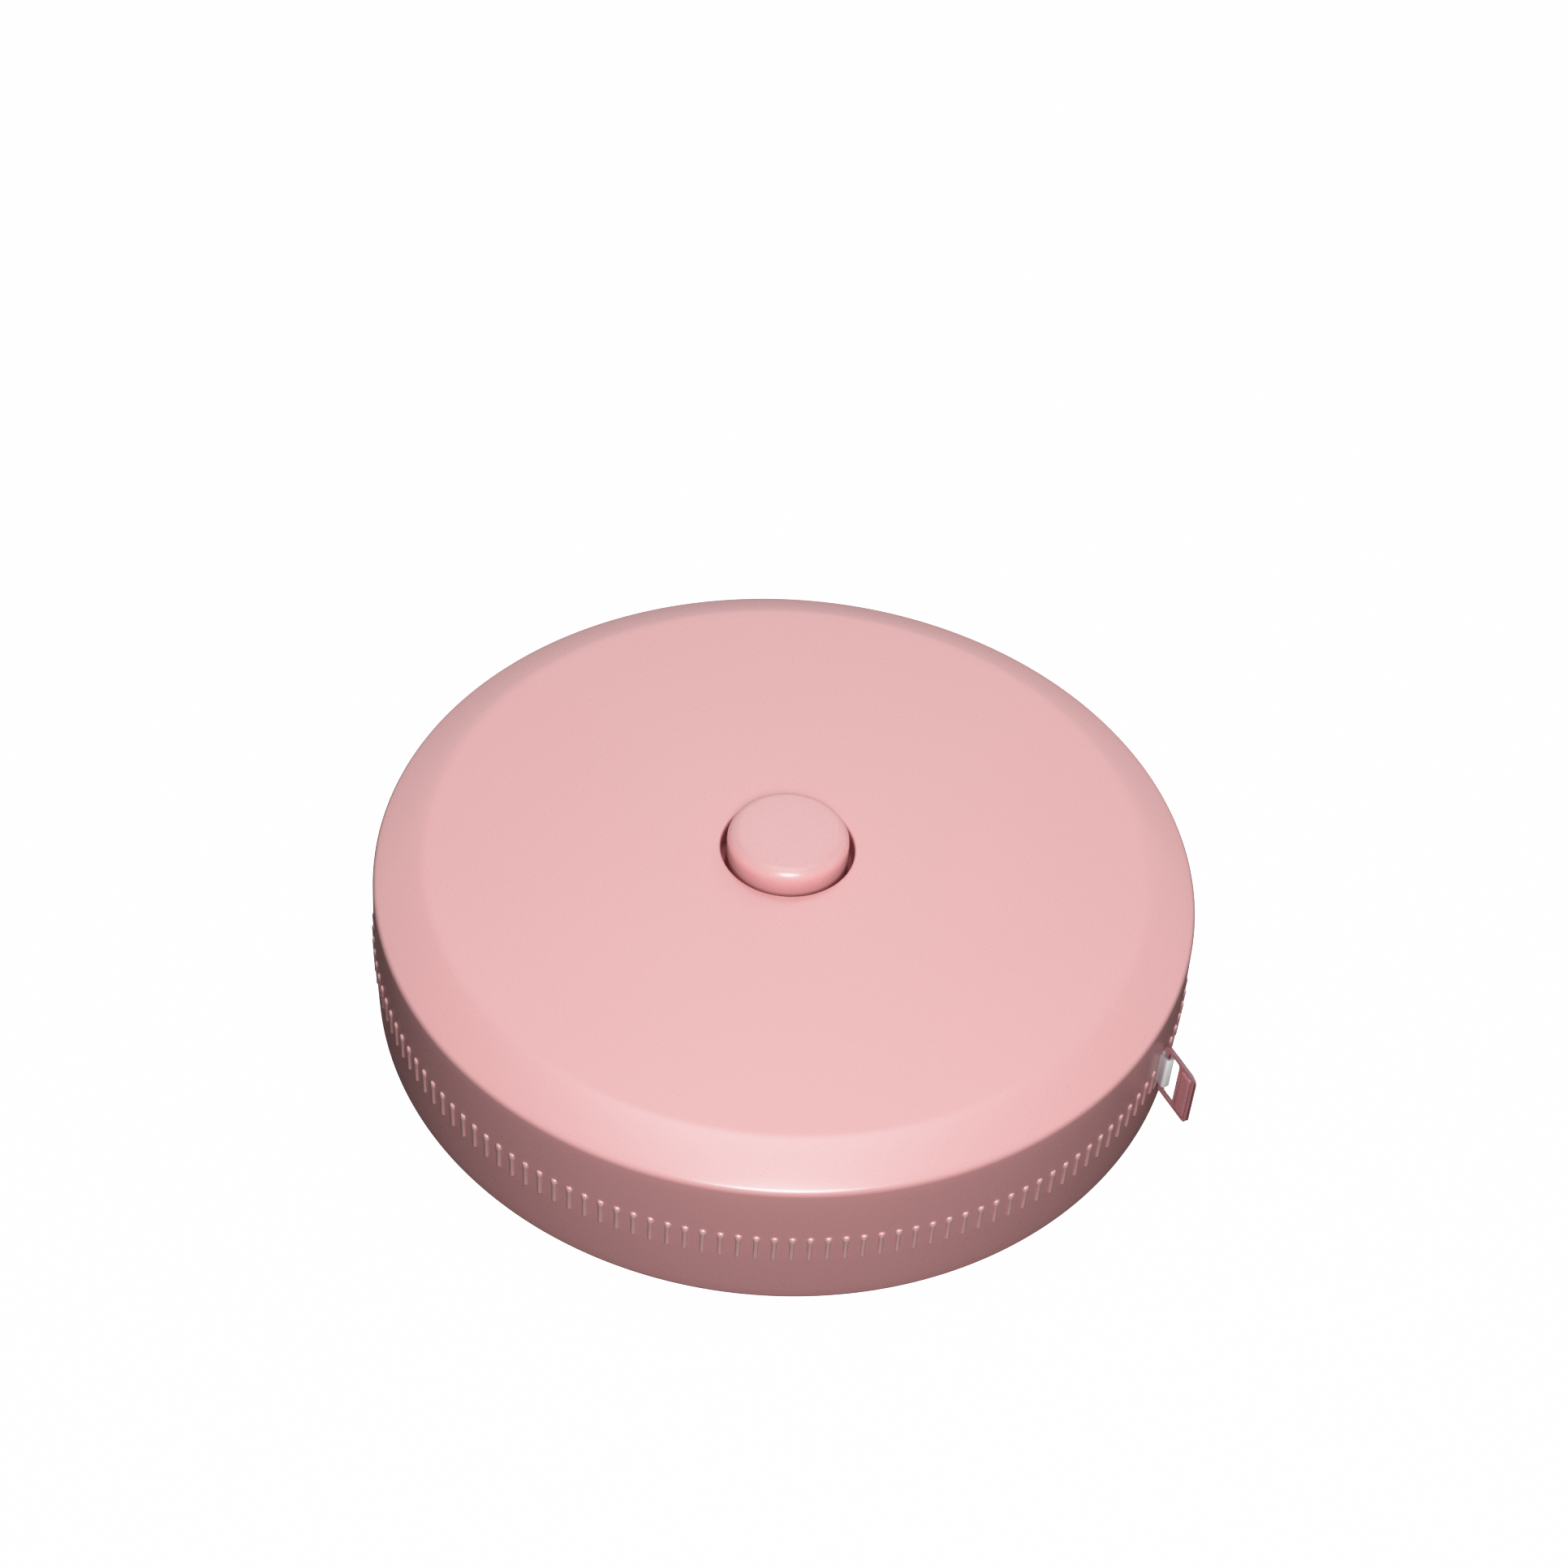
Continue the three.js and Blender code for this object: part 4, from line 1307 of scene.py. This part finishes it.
@dataclass
class TapeEnd:
    """The straight tape, its folded end, and the tab that it holds."""

    plane: float = 15.33
    start: float = 0.1
    tail: float = 14.353
    span: Pair = (4.925, 7.425)
    strip: float = 0.2
    lap: float = 0.22
    lap_start: float = 1.0
    lap_length: float = 2.4
    flare_start: float = 19.56
    flare_end: float = 19.94
    fold_x: float = 20.37
    fold_near: float = 15.33
    fold_far: float = 15.73
    tab_plane: float = 15.53
    tab_x: float = 19.87
    bar_x: float = 19.97
    window_x: float = 20.22
    window_end: float = 21.36
    end_x: float = 22.93
    tab_low: float = 4.175
    tab_high: float = 8.175
    rail: float = 0.28
    thick: float = 0.2
    bar_thick: float = 0.1
    corner: float = 0.5
    small_corner: float = 0.2
    edge: float = 0.05
    notch_gap: float = 0.1
    pad_inset: float = 0.25
    pad_proud: float = 0.1
    pad_bend: float = 0.03
    pad_steps: tuple[float, ...] = (0, 0.02, 0.08, 0.18, 0.32)
    spine_end: float = 0.5
    most_drawn: float = 0.9
    last_drawn: float = 0.97
    most_bevel: float = 0.3
    bevel_points: int = 5
    corner_chords: int = 6
    side_steps: int = 24
    run_points: int = 240

    def run(self) -> None:
        """The straight tape from the reel to its folded end.

        It starts just outside the last turn, so that the turn can pass under it, and eases in
        to its own plane by 3 share^2 - 2 share^3 over a short length.
        """
        x = np.linspace(self.start, self.tail, self.run_points)
        share = np.clip((x - self.lap_start) / self.lap_length, 0, 1)
        y = self.plane - self.strip / 2 + self.lap * (1 - share**2 * (3 - 2 * share))
        made = strip(np.column_stack([x, y]), np.array([[1.0, 0.0]]), self.strip, self.span, steps=3)
        run = piece("straight_tape", made, SCALED_TAPE, "tape_run", None, sharp=50)
        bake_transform(run)

    def loop(self) -> None:
        """The folded end: the tape carried along its middle line, seen from above.

        The two layers lie together as far as the mouth, step apart round the tab's inner bar,
        and meet in a crisp fold.
        """
        near, far = self.plane - self.strip / 2, self.plane + self.strip / 2
        corners = [
            (self.tail, near, 0),
            (self.flare_start, near, 0.4),
            (self.flare_end, self.fold_near, 0.4),
            (self.fold_x, self.fold_near, 0.12),
            (self.fold_x, self.fold_far, 0.12),
            (self.flare_end, self.fold_far, 0.16),
            (self.flare_start, far, 0.3),
            (self.tail, far, 0),
        ]
        flat = rounded(corners, 8)
        sides = unit(np.diff(flat, axis=0))
        along = np.concatenate([sides[:1], sides[1:] + sides[:-1], sides[-1:]])
        made = strip(flat, along, self.strip, self.span, steps=3)
        piece("folded_tape", made, SHADED_WHITE_TAPE, "tape_loop", Body.TAPE_END, sharp=50)

    def frame_loop(self, start: float, end: float, inset: float, soft: float | Sequence[float]) -> Array:
        """An upright outline of (x, z): four rounded corners, and equal steps to a side.

        All such outlines are sampled at the same shares of each side and corner, so that the
        n-th point of one lies across the rim from the n-th point of another.
        """
        corners = stepped((start, end), (self.tab_low + inset, self.tab_high - inset), soft)
        arcs = rounded(corners, self.corner_chords).reshape(4, -1, 2)
        share = np.linspace(0, 1, self.side_steps + 1)[1:-1, None]
        starts, ends = arcs[:, -1:], np.roll(arcs, -1, 0)[:, :1]
        return np.concatenate([arcs, starts + (ends - starts) * share], 1).reshape(-1, 2)

    def frame(self) -> tuple[Array, Array]:
        """The tab's frame: its outlines and, for each, the heights from the tab's middle plane.

        The frame is a ring. At each place round it, a rounded section runs from the outer
        outline to the window's: a point is the mix of the two outlines by the section's share
        across, at the section's height through the thickness. The inner bar is thinner, and
        notched where the tape goes round it.
        """
        small = self.small_corner
        outer = self.frame_loop(self.tab_x, self.end_x, 0, (small, self.corner, self.corner, small))
        window = self.frame_loop(self.window_x, self.window_end, self.rail, small)
        low, high = self.span[0] - self.notch_gap, self.span[1] + self.notch_gap
        notch = (outer[:, 0] < self.bar_x) & (outer[:, 1] > low) & (outer[:, 1] < high)
        outer[notch, 0] = self.bar_x
        half = np.where(notch, self.bar_thick, self.thick) / 2
        bevel = np.minimum(self.edge / np.linalg.norm(outer - window, axis=1), self.most_bevel)
        bend = np.linspace(0, TURN / 4, self.bevel_points)[:, None]
        inset, drop = bevel * (1 - np.sin(bend)), self.edge * (1 - np.cos(bend))
        shares = np.concatenate([inset, 1 - inset[::-1]])[..., None]
        heights = half - np.concatenate([drop[::-1], drop])
        shares = np.concatenate([shares, shares[::-1]])
        return outer * (1 - shares) + window * shares, np.concatenate([heights, -heights[::-1]])

    def on_plane(self, outline: Array, height: Array | float) -> Array:
        """Points of (x, z) set off from the tab's middle plane by a height along Y."""
        x, z = outline[..., 0], outline[..., 1]
        return np.stack([x, np.broadcast_to(self.tab_plane + height, x.shape), z], -1)

    def add_pad(self, made: Surface) -> None:
        """Adds the pad: its outline draws in as it rises on both faces, and closes on a spine.

        A row is the outline moved towards the pad's own middle line by an inset, at a height
        from the plane.
        """
        inset, bend = self.pad_inset, self.pad_bend
        x0, x1 = self.window_end + inset, self.end_x - inset
        outline = self.frame_loop(x0, x1, inset, self.corner - inset)
        ends = self.tab_low + inset + self.spine_end, self.tab_high - inset - self.spine_end
        middle = np.array([(x0 + x1) / 2, sum(ends) / 2])
        spine = np.column_stack([np.full(len(outline), middle[0]), np.clip(outline[:, 1], *ends)])
        face, proud = self.thick / 2, self.thick / 2 + self.pad_proud
        heights = np.array([face - bend, face + bend, proud - bend, proud, proud, proud])
        reach = np.linalg.norm(outline - spine, axis=1)[:, None]
        drawn = [np.minimum(step / reach, self.most_drawn) for step in self.pad_steps]
        rows = [outline + (spine - outline) * share for share in (*drawn, self.last_drawn)]
        both = self.on_plane(np.stack(rows[::-1] + rows), np.append(-heights[::-1], heights)[:, None])
        index = made.add_points(both)
        made.add_quads(index)
        for row, height in ((0, -proud), (-1, proud)):
            made.add_fan(index[row], self.on_plane(middle, height))

    def tab(self) -> None:
        """The tab: a flat frame with soft edges, and a raised pad on its outer bar."""
        made = Surface()
        made.add_quads(made.add_points(self.on_plane(*self.frame())), wrap_rows=True)
        self.add_pad(made)
        piece("pull_loop", made, PINK_TAB, "pull_tab", Body.TAPE_END, sharp=40)

    def build(self) -> None:
        """Builds and dresses the tape's end."""
        self.run()
        self.loop()
        self.tab()


# The studio


@dataclass(frozen=True)
class Lamp:
    """A round soft light at a turn about Z, a rise above the floor and a distance from the object."""

    name: str
    turn: float
    rise: float
    distance: float
    size: float
    power: float


@dataclass
class Studio:
    """A pale floor, soft light from above and in front, and the photograph's camera."""

    camera_turn: float = -29.71
    camera_rise: float = 44.346
    camera_roll: float = 4.3475
    camera_distance: float = 189.765
    aim: Triple = (-10.8715, 5.6122, 6.0)
    lens: float = 67.0
    sensor: float = 36.0
    clip: Pair = (0.01, 50.0)
    floor_radii: Triple = (200.0, 800.0, 4000.0)
    floor_sides: int = 64
    floor_colour: Colour = (0.25, 0.25, 0.25)
    floor_blots: float = 300.0
    floor_drift: float = 0.01
    floor_roughness: float = 0.9
    floor_glow: float = 1.6
    key: Lamp = Lamp("soft_box", turn=-24.0, rise=47.0, distance=171.0, size=52.0, power=0.195)
    back: Lamp = Lamp("back_light", turn=119.0, rise=34.0, distance=261.0, size=60.0, power=0.09)
    under: Lamp = Lamp("under_light", turn=0.0, rise=-90.0, distance=250.0, size=36.0, power=0.16)
    floor_drop: float = 0.1
    sky: float = 1.23
    fill: float = 0.02
    backdrop: float = 1.8
    haze: float = 0.95
    haze_depth: float = 0.7
    ceiling: float = 1.0
    belt: float = 0.7
    belt_height: float = 0.4
    belt_reach: float = 0.14
    overhead: float = 4.0
    overhead_power: float = 16.0
    panel: float = 2.15
    panel_rise: float = 47.0
    panel_reach: float = 0.09
    shoulder: float = 0.7
    film: tuple[float, ...] = (0.0, 0.25, 0.5, 0.7, 0.85, 1.0, 1.25, 1.6, 2.2, 3.0)

    def toward(self, turn: float, rise: float) -> Array:
        """The direction from the object to a place at a turn about Z and a rise above the floor."""
        a, e = np.radians(turn), np.radians(rise)
        return np.array([np.cos(e) * np.cos(a), np.cos(e) * np.sin(a), np.sin(e)])

    def facing(self, at: Array, away: Array, roll: float = 0.0) -> Matrix:
        """A placing matrix at a point in metres whose back, its own +Z, faces a direction.

        The unrolled right is up crossed with the back. The roll turns right and up about the
        back by an angle in degrees.
        """
        back = unit(away)
        right = unit(np.cross([0, 0, 1], back))
        up = np.cross(back, right)
        c, s = np.cos(np.radians(roll)), np.sin(np.radians(roll))
        sides = np.column_stack([c * right + s * up, c * up - s * right, back, at])
        return Matrix(np.vstack([sides, [0, 0, 0, 1]]).tolist())

    def camera(self) -> None:
        """Adds the camera, solved from the photograph's rim, ribs and button."""
        data = bpy.data.cameras.new("photo_camera")
        data.lens, data.sensor_width = self.lens, self.sensor
        data.clip_start, data.clip_end = self.clip
        made = added("photo_camera", data)
        away = self.toward(self.camera_turn, self.camera_rise)
        at = (np.array(self.aim) + away * self.camera_distance) * MM
        made.matrix_world = self.facing(at, away, self.camera_roll)
        bpy.context.scene.camera = made

    def add_lamp(self, lamp: Lamp) -> None:
        """Adds a lamp that faces the object. Only the key is mirrored in the plastic.

        The lamp below is narrower than the case, so that it lights the underside alone.
        """
        data = bpy.data.lights.new(lamp.name, "AREA")
        data.energy, data.shape, data.size = lamp.power, "DISK", lamp.size * MM
        made = added(lamp.name, data)
        away = self.toward(lamp.turn, lamp.rise)
        made.matrix_world = self.facing(away * lamp.distance * MM, away)
        made.visible_glossy = lamp is self.key
        made.visible_camera = False

    def spot(self, made: Nodes, strength: float, distance: Socket, reach: float) -> Socket:
        """A glow that fades with the distance from its middle."""
        share = made.math("MULTIPLY", distance, 1 / reach)
        return made.math("DIVIDE", strength, made.math("MULTIPLY_ADD", share, share, 1.0))

    def sky_light(self) -> None:
        """Makes the world: a sky that lights, what shines in the plastic, and a white backdrop.

        With h the height of a direction, from -1 straight down to 1 straight up: what lights a
        surface is fill + sky h cubed. What shines in it is haze ((h + depth) / depth) squared up
        to the horizon, plus ceiling h, plus overhead h to a high power, plus a low belt all round
        and a panel behind the object, each strength / (1 + (distance from it / reach) squared).
        Below the horizon h counts as 0.
        """
        world = bpy.data.worlds.new("studio")
        world.use_nodes = True
        made = Nodes(world.node_tree)
        way = made.node("TexCoord").outputs["Generated"]
        height = made.split(way)[2]
        behind = self.toward(self.camera_turn + 180, self.panel_rise)
        apart = made.vector("DISTANCE", way, behind)["Value"]
        up = made.math("MAXIMUM", height, 0.0)
        lit = made.math("MULTIPLY_ADD", made.math("POWER", up, 3.0), self.sky, self.fill)
        risen = made.math("MAXIMUM", made.math("MULTIPLY_ADD", height, 1 / self.haze_depth, 1.0), 0.0)
        band = made.math("MINIMUM", risen, 1.0)
        haze = made.math("MULTIPLY", made.math("MULTIPLY", band, band), self.haze)
        high = made.math("POWER", up, self.overhead_power)
        top = made.math("MULTIPLY_ADD", high, self.overhead, haze)
        panel = self.spot(made, self.panel, apart, self.panel_reach)
        belt = self.spot(made, self.belt, made.math("SUBTRACT", height, self.belt_height), self.belt_reach)
        over = made.math("MULTIPLY_ADD", up, self.ceiling, top)
        shine = made.math("ADD", over, made.math("ADD", panel, belt))
        lights, shines, shown = (
            made.node("Background", {"Color": (1, 1, 1, 1), "Strength": strength}).outputs[0]
            for strength in (lit, shine, self.backdrop)
        )
        rays = made.node("LightPath").outputs
        mixed = made.node("MixShader", {0: rays["Is Glossy Ray"], 1: lights, 2: shines}).outputs[0]
        mixed = made.node("MixShader", {0: rays["Is Camera Ray"], 1: mixed, 2: shown}).outputs[0]
        made.feed(made.tree.nodes["World Output"].inputs[0], mixed)
        bpy.context.scene.world = world

    def floor(self) -> None:
        """Adds the floor: a wide lit disc, almost white by itself, that throws no light back up.

        It lies just under the case, lets light through and is clear from below, so that the
        underside can be looked at.
        """
        made = Surface()
        flat = polar(np.array(self.floor_radii)[:, None], around(self.floor_sides))
        index = made.add_points(raised(flat, -self.floor_drop))
        made.add_quads(index)
        made.add_fan(index[0], np.array([0, 0, -self.floor_drop]))
        data = made.mesh("floor")
        data.flip_normals()
        shader = Shader("pale_floor")
        plain, deep = opaque(self.floor_colour), shifted(self.floor_colour, -self.floor_drift)
        shader.finish(
            Base_Color=shader.mix(shader.noise(self.floor_blots), deep, plain),
            Roughness=self.floor_roughness,
            Specular_IOR_Level=0.0,
            Emission_Color=(1, 1, 1, 1),
            Emission_Strength=self.floor_glow,
        )
        back = shader.node("NewGeometry").outputs["Backfacing"]
        clear = shader.node("BsdfTransparent").outputs[0]
        seen = shader.node("MixShader", {0: back, 1: shader.surface.outputs[0], 2: clear}).outputs[0]
        shader.feed(shader.tree.nodes["Material Output"].inputs["Surface"], seen)
        data.materials.append(shader.material)
        plane = added("floor", data)
        plane.visible_diffuse = plane.visible_glossy = plane.visible_shadow = False

    def film_curve(self) -> None:
        """Sets a camera's soft shoulder: what is brighter than a limit rises ever more slowly to 1.

        Below the shoulder s it is the brightness b, and above it 1 - (1 - s) exp((s - b) / (1 - s)).
        """
        view = bpy.context.scene.view_settings
        view.view_transform = "Standard"
        view.use_curve_mapping = True
        bright = np.array(self.film)
        room = 1 - self.shoulder
        soft = 1 - room * np.exp((self.shoulder - np.maximum(bright, self.shoulder)) / room)
        shown = np.where(bright < self.shoulder, bright, soft)
        mapping = view.curve_mapping
        mapping.clip_max_x = bright[-1]
        points = mapping.curves[3].points
        points[-1].location = bright[-1], 1.0
        for place in zip(bright[1:-1], shown[1:-1]):
            points.new(*place)
        mapping.update()

    def build(self) -> None:
        """Builds the studio."""
        self.film_curve()
        self.camera()
        for lamp in (self.key, self.back, self.under):
            self.add_lamp(lamp)
        self.sky_light()
        self.floor()


def main() -> None:
    """Builds the studio and every sub-assembly."""
    logging.basicConfig(level=logging.INFO, format="%(message)s", force=True)
    for part in (Studio(), Case(), Hub(), Reel(), PushButton(), TapeEnd()):
        log.info("building %s", type(part).__name__)
        part.build()


if __name__ == "__main__":
    main()
